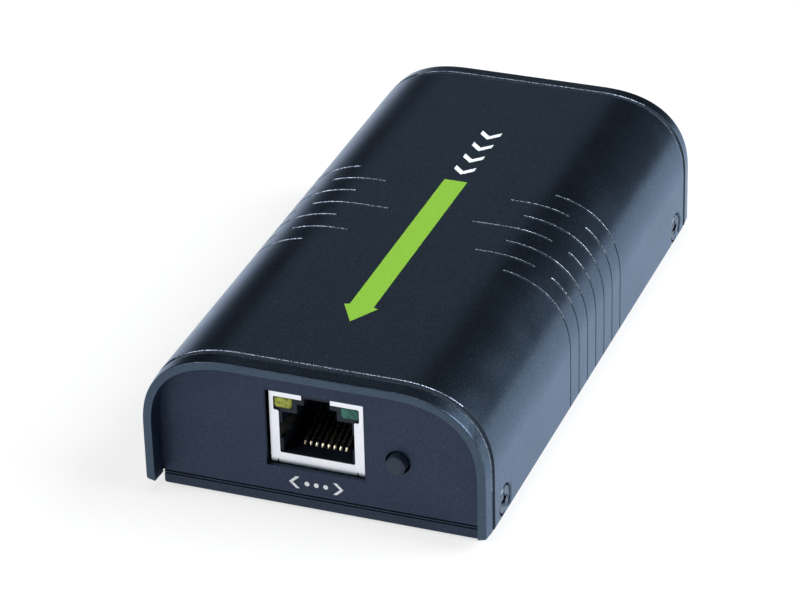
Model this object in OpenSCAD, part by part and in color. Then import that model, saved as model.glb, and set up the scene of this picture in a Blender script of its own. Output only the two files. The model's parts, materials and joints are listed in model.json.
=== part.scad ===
// Small network extender box: an arched metal cover over a folded base, a network socket
// and a reset button at the front end, and a video, an infrared and a power socket at the rear.
// X runs across the case, Y from the front end to the rear end, Z up from the rubber feet.

/* [Cover] */
// Length of the case, end to end
case_l = 111.5; // [108:0.5:130]
// Width of the cover across its legs
case_w = 58.5; // [57:0.5:70]
// Height of the cover from the bottom of its legs
cover_h = 25; // [24:0.5:32]
// Thickness of the cover's wall
cover_wall = 1.7; // [1.5:0.1:2.2]
// Reach of the shoulder curve across the top
shoulder_w = 16.9; // [14:0.1:18]
// Drop of the shoulder curve down the side
shoulder_h = 14.7; // [12:0.1:16]
// Squareness of the shoulder curve, where 2 is an ellipse
shoulder_power = 2.43; // [2:0.01:3]

/* [Cover grooves] */
// Width of a speed line
line_w = 0.55; // [0.4:0.05:1]
// Depth of a speed line
line_depth = 0.4; // [0.2:0.05:0.7]
// Number of speed lines on each side
line_count = 7; // [5:2:9]
// Spacing of the speed lines along the case
line_pitch = 4.57; // [3:0.01:6]
// Reach of the outermost unbroken lines, measured in from the side face
long_reach_outer = 11.55; // [9:0.05:13]
// Reach of the other unbroken lines, measured in from the side face
long_reach_inner = 14.15; // [11:0.05:20]
// Where the lower piece of a broken line stops, measured in from the side face
low_piece_reach = 4.65; // [3:0.05:6]
// Where the upper piece of a broken line starts, measured in from the side face
high_piece_start = 7.75; // [7:0.05:10]
// Where the upper piece of an outer broken line ends, measured in from the side face
high_reach_outer = 17.95; // [12:0.05:20]
// Where the upper piece of a middle broken line ends, measured in from the side face
high_reach_mid = 21.75; // [14:0.05:24]
// Distance from each end of the case to the middle of its end groove
end_groove_in = 3.1; // [1.5:0.1:5]
// Width of an end groove
end_groove_w = 0.8; // [0.4:0.05:1.2]
// Depth of an end groove
end_groove_depth = 0.45; // [0.2:0.05:0.7]
// Radius of the lower corners at the ends of the legs
leg_corner_r = 0.5; // [0.2:0.1:1]

/* [End panels] */
// Distance from the end of the cover to the outer face of a panel
panel_recess = 3.5; // [2:0.1:6]
// Thickness of a panel
panel_t = 1; // [0.8:0.1:1.5]
// Depth of the slot in the cover that holds a panel's edge
slot_depth = 0.6; // [0.4:0.05:0.7]

/* [Base and feet] */
// Thickness of the base, which hangs below the cover's legs
base_t = 1.9; // [1.3:0.1:2.5]
// Radius of the base's lower long corners
base_corner_r = 0.4; // [0.2:0.1:1.2]
// Thickness of the base's side flanges
flange_t = 1.2; // [1:0.1:1.6]
// Height of the base's side flanges above its floor
flange_h = 6.5; // [5.5:0.1:8]
// Diameter of a rubber foot
foot_d = 8; // [6:0.1:9]
// How far a rubber foot stands out of the base
foot_proud = 0.5; // [0.4:0.1:3]
// Distance from the side of the base to the middle of a foot
foot_in_x = 7; // [5:0.1:9]
// Distance from the end of the case to the middle of a foot
foot_in_y = 9.5; // [9:0.1:10]

/* [Screws] */
// Distance from the end of the case to a side screw
side_screw_in = 8.5; // [8:0.1:14]
// Height of a side screw above the bottom of the cover's legs
side_screw_z = 3; // [2.9:0.1:3.5]
// Thread diameter of the side screws and board screws
screw_d = 2.5; // [2:0.1:3]
// Head diameter of the screws
screw_head_d = 4.6; // [4:0.1:5]
// Head height of the screws
screw_head_h = 0.95; // [0.7:0.05:1]
// Diameter of the recess round a side screw
recess_d = 5.4; // [5.2:0.1:5.6]
// Depth of the recess round a side screw
recess_depth = 1.1; // [0.8:0.05:1.2]

/* [Board] */
// Thickness of the circuit board
board_t = 1.6; // [1:0.1:2]
// Height of the board's underside above the base's floor
board_lift = 3.6; // [3:0.1:6]
// Gap between the board's ends and the panels
board_end_gap = 0.95; // [0.5:0.05:1.2]
// Gap between the board's sides and the base's flanges
board_side_gap = 2.2; // [1.8:0.1:3]

/* [Network socket] */
// Sideways place of the socket's middle
jack_x = -0.85; // [-3:0.05:0]
// Width of the socket's shield
jack_w = 16; // [15.6:0.1:17]
// Height of the socket's shield
jack_h = 13.5; // [13.2:0.1:14]
// Length of the socket's shield
jack_l = 21.3; // [19:0.1:24]
// Thickness of the shield's sheet
sheet_t = 0.3; // [0.2:0.05:0.4]
// Width of the plug space
port_w = 11.9; // [11.7:0.05:12]
// Height of the plug space without its keyway
port_h = 7.4; // [6.8:0.1:7.6]
// Depth of the plug space
port_l = 13; // [12:0.1:15]
// Width of the keyway's lower step
key_w = 6.8; // [6.4:0.1:7]
// Width of the keyway's upper step, where the plug's latch slides
latch_w = 4.4; // [4:0.1:4.8]
// Number of contacts
lan_count = 8; // [4:1:8]
// Spacing of the contacts
lan_pitch = 1.02; // [0.9:0.01:1.1]
// Width of a signal light
lan_led_w = 3; // [2.4:0.1:3.1]
// Height of a signal light
lan_led_h = 1.95; // [1.5:0.05:2]

/* [Reset button] */
// Sideways place of the button
button_x = 13.2; // [12:0.05:15]
// Height of the button's middle above the board
button_z = 4.5; // [4.2:0.1:6]
// Diameter of the button
button_d = 3.4; // [2.5:0.1:3.8]
// Diameter of the hole that the button comes out of
button_hole_d = 4.1; // [4:0.1:5]
// How far the button stands out of the panel
button_proud = 1.3; // [0.5:0.1:2]
// Travel of the button
button_travel = 0.25; // [0.1:0.05:0.5]

/* [Video socket] */
// Sideways place of the socket's middle
video_x = 8.5; // [8.3:0.1:9]
// Width of the socket's shell
video_w = 14.6; // [14:0.1:15]
// Height of the socket's shell
video_h = 5.2; // [4.8:0.1:6]
// Length of the socket's shell
video_l = 12; // [11:0.1:14]
// Width of the shell's narrow lower edge
video_low_w = 11; // [10:0.1:12]
// Height at which the shell's sides start to draw in
video_step_z = 1.7; // [1:0.1:2]

/* [Infrared socket] */
// Sideways place of the socket's middle
ir_x = -3.5; // [-3.6:0.1:-3]
// Bore of the socket's collar
ir_bore_d = 3.6; // [3.55:0.05:3.7]
// Outside diameter of the socket's collar
ir_collar_d = 5; // [4.6:0.1:5]
// Length of the socket's collar
ir_collar_l = 3.5; // [2.5:0.1:4.5]
// Length of the socket's housing
ir_l = 12; // [11:0.1:14]

/* [Power socket] */
// Sideways place of the socket's middle
dc_x = -13; // [-13.4:0.1:-12.4]
// Diameter of the centre pin
dc_pin_d = 2; // [1.3:0.1:2.5]
// Bore that the plug's sleeve enters
dc_bore_d = 6.4; // [6.2:0.1:6.8]
// Depth of the bore
dc_bore_l = 10; // [8:0.1:11]
// Length of the housing
dc_l = 14.2; // [13:0.1:15]
// Diameter of the panel's hole in front of it
dc_hole_d = 8; // [7:0.1:8.5]

/* [Chips] */
// Side of the video processor
processor_w = 17; // [14:0.5:18]
// Side of the heat sink
sink_w = 14; // [12:0.5:16]
// Height of the heat sink's fins
fin_h = 5; // [3:0.5:7]
// Number of the heat sink's fins
fin_count = 6; // [4:1:8]
// Diameter of a capacitor's can
can_d = 6.3; // [5:0.1:6.6]
// Height of a capacitor's can
can_h = 7.2; // [5:0.1:9]
// Side of a power inductor
coil_w = 7; // [5:0.1:7.2]

/* [Hidden] */

// Smoothness of round things
$fn = 48;
// Steps round one shoulder of the cover, and round a small corner
arch_steps = 20;
corner_steps = 5;
// How far a cutting shape runs past what it cuts
over = 0.5;
// Gap between flat pieces that slide together
fit_gap = 0.15;
// Gap between a piece and the close seat that holds it
seat_gap = 0.05;

// Heights, from the feet up
base_z = foot_proud;
leg_z = base_z + base_t;
board_z = leg_z + board_lift;
deck_z = board_z + board_t;

// The cover's flat top starts here, measured from the middle
flat_x = case_w / 2 - shoulder_w;
flat_z = cover_h - shoulder_h;

// The end panels
panel_y = case_l / 2 - panel_recess;
panel_in_y = panel_y - panel_t;

// Under a panel the base has a lip, with a fine line cut below it
base_lip_h = 0.25;
base_line_h = 0.25;
base_line_depth = 0.3;
panel_gap = 0.25;
panel_lift = base_lip_h + panel_gap;
slot_w = panel_t + 2 * seat_gap;

// The base
base_w = case_w - 2 * cover_wall - 2 * fit_gap;
flange_in_x = base_w / 2 - flange_t;
flange_end_gap = 0.3;
foot_sink = 0.4;

// Measures that the rear sockets share
socket_back_gap = 0.1;
shell_t = 0.3;

// The board
board_w = 2 * (flange_in_x - board_side_gap);
board_l = 2 * (panel_in_y - board_end_gap);
standoff_in_x = 3.5;
standoff_in_y = 12;
// Gap between neighbours on the board
chip_gap = 0.8;
standoff_w = 4.6;
standoff_foot_d = 3.6;
hole_gap = 0.15;
screw_hole_d = screw_d + 2 * hole_gap;
thread_hole_d = screw_d + 2 * seat_gap;
board_head_h = 1.3;

// The front standoffs stand beside the network socket, the rear ones in front of the power socket
standoff_x = board_w / 2 - standoff_in_x;
front_standoff_y = standoff_in_y - board_l / 2;
rear_standoff_y = panel_in_y - socket_back_gap - dc_l - chip_gap - screw_head_d / 2;

// The side screws reach past the flange but stay clear of the board
screw_tip_gap = 0.8;
side_shank_l = cover_wall - recess_depth + fit_gap + flange_t + board_side_gap - screw_tip_gap;
// The board screws reach most of the way down their standoffs
board_shank_l = board_t + board_lift - screw_tip_gap;
tip_chamfer = 0.3;
cross_w = 0.55;
cross_l_share = 0.6;
cross_depth_share = 0.65;

// The network socket, from its face back and from the board up
jack_y = -panel_in_y + seat_gap;
window_side_gap = 0.4;
window_low_gap = 0.2;
frame_side = 1.6;
frame_low = 1.9;
frame_top = 1.3;
led_frame_side = 0.72;
led_shelf_drop = 3.8;
latch_notch_w = 4.9;
corner_notch_w = 0.7;
corner_notch_h = 0.7;
corner_notch_in = 1.2;
shield_back_z = 3.2;
leaf_h = 2.2;
leaf_z = 4.7;
leaf_l = 6.5;
leaf_in = 0.2;
leaf_slot_gap = 0.3;
shield_fold_r = 0.5;
opening_r = 0.3;
shield_leg_w = 1.6;
shield_leg_y = 9;
shield_leg_proud = 0.9;
housing_top_drop = 0.65;
port_floor = 1.95;
latch_roof = 0.45;
key_h = 1.75;
latch_h = jack_h - housing_top_drop - latch_roof - port_floor - port_h - key_h;
lan_led_drop = 0.13;
lan_led_z = jack_h - frame_top - lan_led_drop - lan_led_h;
lan_led_in = 0.85;
lan_led_set_in = 0.1;
lan_led_l = 6;
lan_led_corner_r = 0.6;
contact_w = 0.46;
contact_t = 0.3;
contact_run_z = 1.25;
contact_bend_y = 3.6;
contact_bend_z = 2.2;
contact_tip_y = 11.5;
contact_tip_z = 4.7;
contact_row_y = 15;
contact_row_step = 2.5;
pin_proud = 0.9;
pin_gap = 0.1;
peg_d = 3.2;
peg_x = 5.7;
peg_y = 9.5;

// The reset switch, from its frame's front face back
switch_set_in = 2.3;
switch_y = -panel_in_y + switch_set_in;
switch_w = 6;
switch_h = 6;
switch_l = 3.5;
switch_frame_t = 0.4;
switch_frame_lip = 1.2;
plunger_gap = 0.1;
button_edge = 0.2;
collar_extra = 0.8;
collar_l = 0.6;
nose_d = 2;
nose_l = 0.3;
dome_gap = button_travel + seat_gap;
dome_rise = 0.6;
dome_t = 0.15;
dome_gap_side = 0.2;
cavity_side_gap = 0.3;
switch_cavity_l = seat_gap + collar_l + nose_l + dome_gap + dome_rise + dome_t;
terminal_w = 0.7;
terminal_t = 0.3;
terminal_x = 2.2;
terminal_back = 0.6;

// The video socket
video_proud = 0.3;
tongue_w = 12;
tongue_t = 1.3;
tongue_in = 1;
video_body_l = 2.4;
video_contact_w = 0.4;
video_contact_t = 0.12;
video_contact_pitch = 1;
video_contact_l = 7;
video_contact_count = 10;

// The infrared socket
ir_w = 6.4;
ir_h = 5.2;
ir_collar_proud = 0.2;
ir_inner_d = 4;
ir_hole_gap = 0.2;
ir_leaf_t = 0.2;
ir_leaf_h = 1.4;
ir_leaf_x = 2.4;
ir_leaf_in = 0.35;
ir_slot_in = 1.5;
ir_slot_out = 2.75;
ir_back_t = 0.8;

// The power socket
dc_w = 9;
dc_h = 11;
dc_axis_z = 6.4;
dc_front_l = 3.4;
dc_pin_in = 0.9;
dc_pin_root_d = 2.4;
dc_pin_root_proud = 0.3;
dc_pin_tail = 0.6;
dc_pin_tail_d = 3;
dc_leaf_w = 2.4;
dc_leaf_t = 0.3;
dc_leaf_rise = 0.5;
dc_leaf_y = 2;
dc_leaf_gap = 0.2;

// The power light
led_x = 19;
led_z = 3.2;
led_d = 2;
led_hole_gap = 0.15;
led_l = 3;
led_nose = 0.4;
led_holder_w = 4;
led_holder_h = 5.2;
led_holder_l = 4.4;

// Chip packages: body size, leads on a side, lead pitch
chip_lead_t = 0.2;
chip_lead_out = 1;
chip_lead_share = 0.5;
chip_lift = 0.1;
flash_size = [5, 4, 1.5];
flash_leads = 4;
flash_pitch = 1.27;
network_size = [7, 7, 1.4];
network_leads = 12;
network_pitch = 0.5;
transformer_size = [12.7, 7, 5.5];
transformer_leads = 8;
transformer_pitch = 1.27;
receiver_size = [10, 10, 1.4];
receiver_leads = 16;
receiver_pitch = 0.5;

// Other bodies on the board
processor_h = 1.2;
pad_t = 0.5;
sink_base_h = 1.2;
fin_t = 0.8;
memory_w = 8;
memory_l = 12.5;
memory_h = 1;
regulator_size = [6.5, 3.5, 1.6];
regulator_tab_w = 3;
regulator_tab_l = 1.5;
regulator_lead_w = 0.7;
regulator_lead_t = 0.3;
coil_h = 4;
coil_chamfer_share = 0.18;
coil_cap_share = 0.8;
coil_cap_h = 0.3;
can_base_w_share = 1.05;
can_base_h = 0.9;
can_groove_z = 1.6;
can_groove_w = 0.8;
can_groove_depth = 0.35;
can_edge_r = 0.5;
crystal_w = 4.7;
crystal_l = 11.4;
crystal_h = 3.5;
crystal_brim = 0.5;
crystal_brim_h = 0.5;
passive_w = 0.8;
passive_l = 1.6;
passive_h = 0.5;
passive_pitch = 2;
passive_count = 7;
passive_column_l = (passive_count - 1) * passive_pitch + passive_w;

// A place on the board by shares of its width and length, from its middle
function board_place(share) = [share[0] * board_w, share[1] * board_l];
processor_share = [0.04, 0.05];
memory_shares = [[-0.34, 0.05], [0.37, 0.05]];
crystal_share = [-0.25, -0.11];
resistor_shares = [[-0.34, 0], [-0.465, -0.1]];
capacitor_share = [-0.42, 0];
regulator_share = [0.04, 0.22];
receiver_share = [0, 0.26];
coil_share = [0, 0.29];
can_share = [0, 0.2];

// The processor's row, at the middle of the board
processor_place = board_place(processor_share);
memory_places = [board_place(memory_shares[0]), board_place(memory_shares[1])];

// The row behind the network socket
jack_back_y = jack_y + jack_l;
jack_row_gap = 1.5;
transformer_place = [jack_x, jack_back_y + jack_row_gap + chip_lead_out + transformer_size[1] / 2];
network_place = transformer_place
    + [transformer_size[0] / 2 + chip_gap + chip_lead_out + network_size[0] / 2, 0];
flash_place = [
    processor_place[0] + processor_w / 2 + chip_gap + flash_size[0] / 2,
    network_place[1] + network_size[1] / 2 + 2 * chip_lead_out + chip_gap + flash_size[1] / 2
];
crystal_places = [
    board_place(crystal_share),
    network_place + [network_size[0] / 2 + chip_lead_out + chip_gap + crystal_w / 2, 0]
];
column_y = jack_back_y + jack_row_gap + passive_column_l / 2;
resistor_places = [[board_place(resistor_shares[0])[0], column_y], board_place(resistor_shares[1])];
capacitor_places = [
    [board_place(capacitor_share)[0], column_y],
    [jack_x - jack_w / 2 - chip_gap - passive_l / 2, chip_gap + (passive_column_l - board_l) / 2]
];

// The rear rows: regulators in the middle, the receiver chip and the power parts beside them
regulator_pitch = 7;
regulator_place = board_place(regulator_share);
receiver_place = [
    regulator_place[0] - regulator_size[0] / 2 - chip_gap - chip_lead_out - receiver_size[0] / 2,
    board_place(receiver_share)[1]
];
coil_x = regulator_place[0] + (regulator_size[0] + coil_w + chip_gap) / 2;
inductor_places = [
    [coil_x, board_place(coil_share)[1]],
    [coil_x + coil_w + chip_gap, rear_standoff_y - (screw_head_d + coil_w) / 2 - chip_gap]
];
can_w = can_d * can_base_w_share;
can_places = [
    [coil_x, board_place(can_share)[1]],
    [-standoff_x, front_standoff_y + (screw_head_d + can_w) / 2 + chip_gap],
    network_place + [chip_gap, -network_size[1] / 2 - chip_lead_out - (can_w + chip_gap) / 2]
];

// Points of the cover's section: the shoulder is a superellipse, moved inwards along its normal
function unit2(v) = v / norm(v);
function reversed(list) = [for (i = [len(list) - 1 : -1 : 0]) list[i]];
function flipped(list) = [for (p = reversed(list)) [-p[0], p[1]]];
function arch_normal(t) = unit2([
    cos(t) ^ (2 - 2 / shoulder_power) / shoulder_w,
    sin(t) ^ (2 - 2 / shoulder_power) / shoulder_h
]);
function arch_point(t, inset) = [
    flat_x + shoulder_w * cos(t) ^ (2 / shoulder_power),
    flat_z + shoulder_h * sin(t) ^ (2 / shoulder_power)
] - inset * arch_normal(t);
function shoulder(from, to, inset) = [
    for (i = [0 : arch_steps]) arch_point(from + (to - from) * i / arch_steps, inset)
];
function arch_outline(inset, low) = concat(
    [[case_w / 2 - inset, low]],
    shoulder(0, 90, inset),
    flipped(shoulder(0, 90, inset)),
    [[inset - case_w / 2, low]]
);

// A line on the cover between two distances in from its side face, or up from its lower edge
function reach_angle(reach) = reach >= shoulder_w
    ? 90
    : acos(((shoulder_w - reach) / shoulder_w) ^ (shoulder_power / 2));
function line_side(from, to, inset) = concat(
    from > 0 ? [] : [[case_w / 2 - inset, -over]],
    shoulder(reach_angle(from), reach_angle(to), inset),
    to > shoulder_w ? [[case_w / 2 - to, cover_h - inset]] : []
);
function line_band(from, to, depth) = concat(
    line_side(from, to, -over),
    reversed(line_side(from, to, depth))
);

// A polygon whose corners are rounded, each by its own radius
function turn_of(v) = atan2(v[1], v[0]);
function nearest_turn(a) = a > 180 ? a - 360 : a < -180 ? a + 360 : a;
function round_corner(a, b, c, r) =
    let (
        u = unit2(a - b),
        v = unit2(c - b),
        half = acos(u * v) / 2,
        centre = b + unit2(u + v) * r / sin(half),
        from = turn_of(b + u * r / tan(half) - centre),
        sweep = nearest_turn(turn_of(b + v * r / tan(half) - centre) - from)
    )
    [
        for (i = [0 : corner_steps])
            let (turn = from + sweep * i / corner_steps)
            centre + r * [cos(turn), sin(turn)]
    ];
function rounded(points, radii) =
    let (n = len(points))
    [for (i = [0 : n - 1]) each radii[i] > 0
        ? round_corner(points[(i + n - 1) % n], points[i], points[(i + 1) % n], radii[i])
        : [points[i]]];
function same(value, count) = [for (i = [1 : count]) value];

// The outline of a strip of sheet that follows a path
function left2(v) = [-v[1], v[0]];
function strip_side(path, off) = [
    for (i = [0 : len(path) - 1])
        let (
            before = i == 0 ? unit2(path[1] - path[0]) : unit2(path[i] - path[i - 1]),
            after = i == len(path) - 1 ? before : unit2(path[i + 1] - path[i]),
            mid = unit2(left2(before) + left2(after))
        )
        path[i] + mid * off / (mid * left2(before))
];
function strip_outline(path, t) = concat(strip_side(path, t / 2), reversed(strip_side(path, -t / 2)));

// A flat outline in X and Z, extruded along Y
module along_y(from, to) {
    translate([0, to, 0])
        rotate([90, 0, 0])
            linear_extrude(to - from)
                children();
}

// A flat outline in Y and Z, extruded along X about the middle
module along_x(width) {
    translate([-width / 2, 0, 0])
        rotate([90, 0, 90])
            linear_extrude(width)
                children();
}

// A block centred across, that starts at Y 0 and Z 0
module block(w, l, h) {
    translate([-w / 2, 0, 0])
        cube([w, l, h]);
}

// A block centred on its place, that stands on Z 0
module pad(w, l, h) {
    translate([-w / 2, -l / 2, 0])
        cube([w, l, h]);
}

module rod_y(d, l) {
    rotate([-90, 0, 0])
        cylinder(d = d, h = l);
}

// Puts a piece at the same distance from both sides and both ends
module four_corners(x, y) {
    for (sx = [-1, 1])
        for (sy = [-1, 1])
            translate([sx * x, sy * y, 0])
                children();
}

// Puts a socket that faces -Y at the front panel, and one at the rear panel
module at_front(x) {
    translate([x, -panel_in_y, deck_z])
        children();
}

module at_rear(x) {
    rotate([0, 0, 180])
        at_front(x)
            children();
}

// Puts chips on the board
module on_board(places) {
    for (place = places)
        translate([place[0], place[1], deck_z])
            children();
}

// Puts a piece at each standoff
module at_standoffs() {
    for (side = [-1, 1])
        for (y = [front_standoff_y, rear_standoff_y])
            translate([side * standoff_x, y, 0])
                children();
}

// A screw along -Z with a cross in its head, whose head rests on Z 0
module cross_screw(head_h, shank_l) {
    difference() {
        union() {
            cylinder(d = screw_head_d, h = head_h);
            translate([0, 0, tip_chamfer - shank_l])
                cylinder(d = screw_d, h = shank_l - tip_chamfer);
            translate([0, 0, -shank_l])
                cylinder(d1 = screw_d - 2 * tip_chamfer, d2 = screw_d, h = tip_chamfer);
        }
        for (turn = [0, 90])
            translate([0, 0, head_h * (1 - cross_depth_share)])
                rotate([0, 0, turn])
                    pad(screw_head_d * cross_l_share, cross_w, head_h);
    }
}

// Where the side screws go: the axis of each points out of the case
module at_side_screws(x) {
    for (side = [-1, 1])
        for (end = [-1, 1])
            translate([side * x, end * (case_l / 2 - side_screw_in), leg_z + side_screw_z])
                rotate([0, side * 90, 0])
                    children();
}

// One speed line, cut into both sides of the cover
module speed_line(y, from, to) {
    for (side = [0, 1])
        mirror([side, 0, 0])
            along_y(y - line_w / 2, y + line_w / 2)
                polygon(line_band(from, to, line_depth));
}

module speed_lines() {
    middle = (line_count - 1) / 2;
    for (i = [0 : line_count - 1]) {
        y = (i - middle) * line_pitch;
        outermost = i == 0 || i == line_count - 1;
        if (i % 2 == 0) {
            speed_line(y, 0, outermost ? long_reach_outer : long_reach_inner);
        } else {
            speed_line(y, 0, low_piece_reach);
            speed_line(y, high_piece_start, i == middle ? high_reach_mid : high_reach_outer);
        }
    }
}

// What is cut from the lower corner at the end of a leg to round it
module leg_corner_cut() {
    difference() {
        translate([-over, -over])
            square([leg_corner_r + over, leg_corner_r + over]);
        translate([leg_corner_r, leg_corner_r])
            circle(r = leg_corner_r);
    }
}

module top_cover() {
    color("#1c232e")
        difference() {
            translate([0, 0, leg_z])
                difference() {
                    along_y(-case_l / 2, case_l / 2)
                        difference() {
                            polygon(arch_outline(0, 0));
                            polygon(arch_outline(cover_wall, -over));
                        }
                    for (end = [-1, 1]) {
                        translate([0, end * (case_l / 2 - end_groove_in), 0])
                            along_y(-end_groove_w / 2, end_groove_w / 2)
                                difference() {
                                    polygon(arch_outline(-over, -over));
                                    polygon(arch_outline(end_groove_depth, -2 * over));
                                }
                        translate([0, end * (panel_y - panel_t / 2), 0])
                            along_y(-slot_w / 2, slot_w / 2)
                                polygon(arch_outline(cover_wall - slot_depth, -over));
                    }
                    speed_lines();
                }
            for (end = [0, 1])
                mirror([0, end, 0])
                    translate([0, -case_l / 2, leg_z])
                        along_x(case_w + 2 * over)
                            leg_corner_cut();
            at_side_screws(case_w / 2) {
                translate([0, 0, -recess_depth])
                    cylinder(d = recess_d, h = recess_depth + over);
                translate([0, 0, -cover_wall - over])
                    cylinder(d = screw_hole_d, h = cover_wall + 2 * over);
            }
        }
}

module base_plate() {
    floor_l = 2 * panel_y;
    flange_l = 2 * (panel_in_y - flange_end_gap);
    color("#2c3646")
        difference() {
            union() {
                translate([0, 0, base_z])
                    along_y(-floor_l / 2, floor_l / 2)
                        polygon(rounded(
                            [[-base_w / 2, 0], [base_w / 2, 0], [base_w / 2, base_t], [-base_w / 2, base_t]],
                            [base_corner_r, base_corner_r, 0, 0]
                        ));
                for (side = [-1, 1])
                    translate([side * (base_w / 2 - flange_t / 2), -flange_l / 2, leg_z])
                        block(flange_t, flange_l, flange_h);
                for (end = [0, 1])
                    rotate([0, 0, 180 * end])
                        translate([0, -panel_y, leg_z - over])
                            block(base_w, panel_t, base_lip_h + over);
            }
            for (end = [0, 1])
                rotate([0, 0, 180 * end])
                    translate([0, -panel_y - over, leg_z - base_line_h])
                        block(base_w + 2 * over, base_line_depth + over, base_line_h);
            at_side_screws(base_w / 2)
                translate([0, 0, -flange_t - over])
                    cylinder(d = thread_hole_d, h = flange_t + 2 * over);
            at_standoffs()
                translate([0, 0, base_z - over])
                    cylinder(d = standoff_foot_d + 2 * seat_gap, h = base_t + 2 * over);
            four_corners(base_w / 2 - foot_in_x, case_l / 2 - foot_in_y)
                translate([0, 0, base_z - over])
                    cylinder(d = foot_d + 2 * fit_gap, h = foot_sink + over);
        }
}

// A plate that fills the cover's end and stands in its slots
module panel_blank() {
    translate([0, 0, leg_z])
        along_y(-panel_y, -panel_in_y)
            polygon(arch_outline(cover_wall - slot_depth + seat_gap, panel_lift));
}

// A hole through a panel, along Y
module panel_hole(d) {
    translate([0, -panel_t - over, 0])
        rod_y(d, panel_t + 2 * over);
}

module front_panel() {
    color("#2f3a4d")
        difference() {
            panel_blank();
            at_front(jack_x)
                translate([0, -panel_t - over, -window_low_gap])
                    block(jack_w + 2 * window_side_gap, panel_t + 2 * over, jack_h + 2 * window_low_gap);
            at_front(button_x)
                translate([0, 0, button_z])
                    panel_hole(button_hole_d);
        }
}

module rear_panel() {
    color("#2f3a4d")
        difference() {
            rotate([0, 0, 180])
                panel_blank();
            at_rear(video_x)
                along_y(-panel_t - over, over)
                    polygon(video_outline(-fit_gap));
            at_rear(ir_x)
                translate([0, 0, ir_h / 2])
                    panel_hole(ir_collar_d + 2 * ir_hole_gap);
            at_rear(dc_x)
                translate([0, 0, dc_axis_z])
                    panel_hole(dc_hole_d);
            at_rear(led_x)
                translate([0, 0, led_z])
                    panel_hole(led_d + 2 * led_hole_gap);
        }
}

module side_screws() {
    color("#b9bec4")
        at_side_screws(case_w / 2 - recess_depth)
            cross_screw(screw_head_h, side_shank_l);
}

module rubber_feet() {
    color("#17181a")
        four_corners(base_w / 2 - foot_in_x, case_l / 2 - foot_in_y)
            cylinder(d = foot_d, h = foot_proud + foot_sink);
}

// The holes that the board has for pins, pegs and legs
module board_cuts() {
    at_standoffs()
        translate([0, 0, board_z - over])
            cylinder(d = screw_hole_d, h = board_t + 2 * over);
    translate([jack_x, jack_y, board_z - over]) {
        for (i = [0 : lan_count - 1])
            translate([lan_contact_x(i), lan_contact_row(i), 0])
                cylinder(d = contact_w + contact_t + 2 * pin_gap, h = board_t + 2 * over);
        for (side = [-1, 1]) {
            translate([side * peg_x, peg_y, 0])
                cylinder(d = peg_d + 2 * fit_gap, h = board_t + 2 * over);
            translate([side * (jack_w - sheet_t) / 2, shield_leg_y, 0])
                pad(sheet_t + 2 * pin_gap, shield_leg_w + 2 * pin_gap, board_t + 2 * over);
        }
    }
    translate([button_x, switch_y, board_z - over])
        for (side = [-1, 1])
            translate([side * terminal_x, switch_frame_t + switch_l + terminal_back, 0])
                pad(terminal_w + 2 * pin_gap, terminal_t + 2 * pin_gap, board_t + 2 * over);
}

module main_board() {
    color("#1f5a3a")
        difference() {
            translate([0, 0, board_z])
                pad(board_w, board_l, board_t);
            board_cuts();
        }
}

module board_standoffs() {
    color("#c9b37a")
        at_standoffs()
            difference() {
                union() {
                    translate([0, 0, leg_z])
                        cylinder(d = standoff_w / cos(30), h = board_lift, $fn = 6);
                    translate([0, 0, leg_z - base_t])
                        cylinder(d = standoff_foot_d, h = base_t);
                }
                translate([0, 0, leg_z])
                    cylinder(d = thread_hole_d, h = board_lift + over);
            }
}

module board_screws() {
    color("#b9bec4")
        at_standoffs()
            translate([0, 0, deck_z])
                cross_screw(board_head_h, board_shank_l);
}

// The opening in the shield's face: wide at the lights, narrow at the plug
function shield_opening() =
    let (
        x = jack_w / 2 - frame_side,
        wide = jack_w / 2 - led_frame_side,
        shelf = jack_h - led_shelf_drop,
        top = jack_h - frame_top
    )
    rounded(
        [[-x, frame_low], [x, frame_low], [x, shelf], [wide, shelf], [wide, top],
         [-wide, top], [-wide, shelf], [-x, shelf]],
        same(opening_r, 8)
    );

// A spring leaf that a side of the shield bends into the plug space
module shield_leaf() {
    root = jack_w / 2 - frame_side + sheet_t / 2;
    tip = port_w / 2 - leaf_in + sheet_t / 2;
    path = [[root, sheet_t / 2], [tip, leaf_l / 2], [port_w / 2 + sheet_t / 2, leaf_l]];
    translate([0, 0, leaf_z])
        linear_extrude(leaf_h)
            polygon(strip_outline(path, sheet_t));
}

module lan_shield() {
    color("#e6e8ec")
        translate([jack_x, jack_y, deck_z]) {
            difference() {
                union() {
                    along_y(0, jack_l)
                        polygon(rounded(
                            [[-jack_w / 2, 0], [jack_w / 2, 0], [jack_w / 2, jack_h], [-jack_w / 2, jack_h]],
                            [0, 0, shield_fold_r, shield_fold_r]
                        ));
                    for (side = [-1, 1])
                        translate([side * (jack_w - sheet_t) / 2, shield_leg_y, -board_t - shield_leg_proud])
                            pad(sheet_t, shield_leg_w, board_t + shield_leg_proud + over);
                }
                translate([0, sheet_t, -over])
                    block(jack_w - 2 * sheet_t, jack_l - 2 * sheet_t, jack_h + over - sheet_t);
                along_y(-over, sheet_t + over)
                    polygon(shield_opening());
                translate([0, -over, jack_h - frame_top - over])
                    block(latch_notch_w, sheet_t + 2 * over, frame_top + over - sheet_t);
                for (side = [-1, 1])
                    along_y(-over, sheet_t + over)
                        translate([side * (jack_w / 2 - corner_notch_in), 0])
                            polygon([
                                [-corner_notch_w / 2, -corner_notch_h],
                                [corner_notch_w / 2, -corner_notch_h],
                                [0, corner_notch_h]
                            ]);
                translate([0, jack_l - sheet_t - over, -over])
                    block(jack_w - 2 * sheet_t, sheet_t + 2 * over, shield_back_z + over);
            }
            for (side = [0, 1])
                mirror([side, 0, 0])
                    shield_leaf();
        }
}

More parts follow.
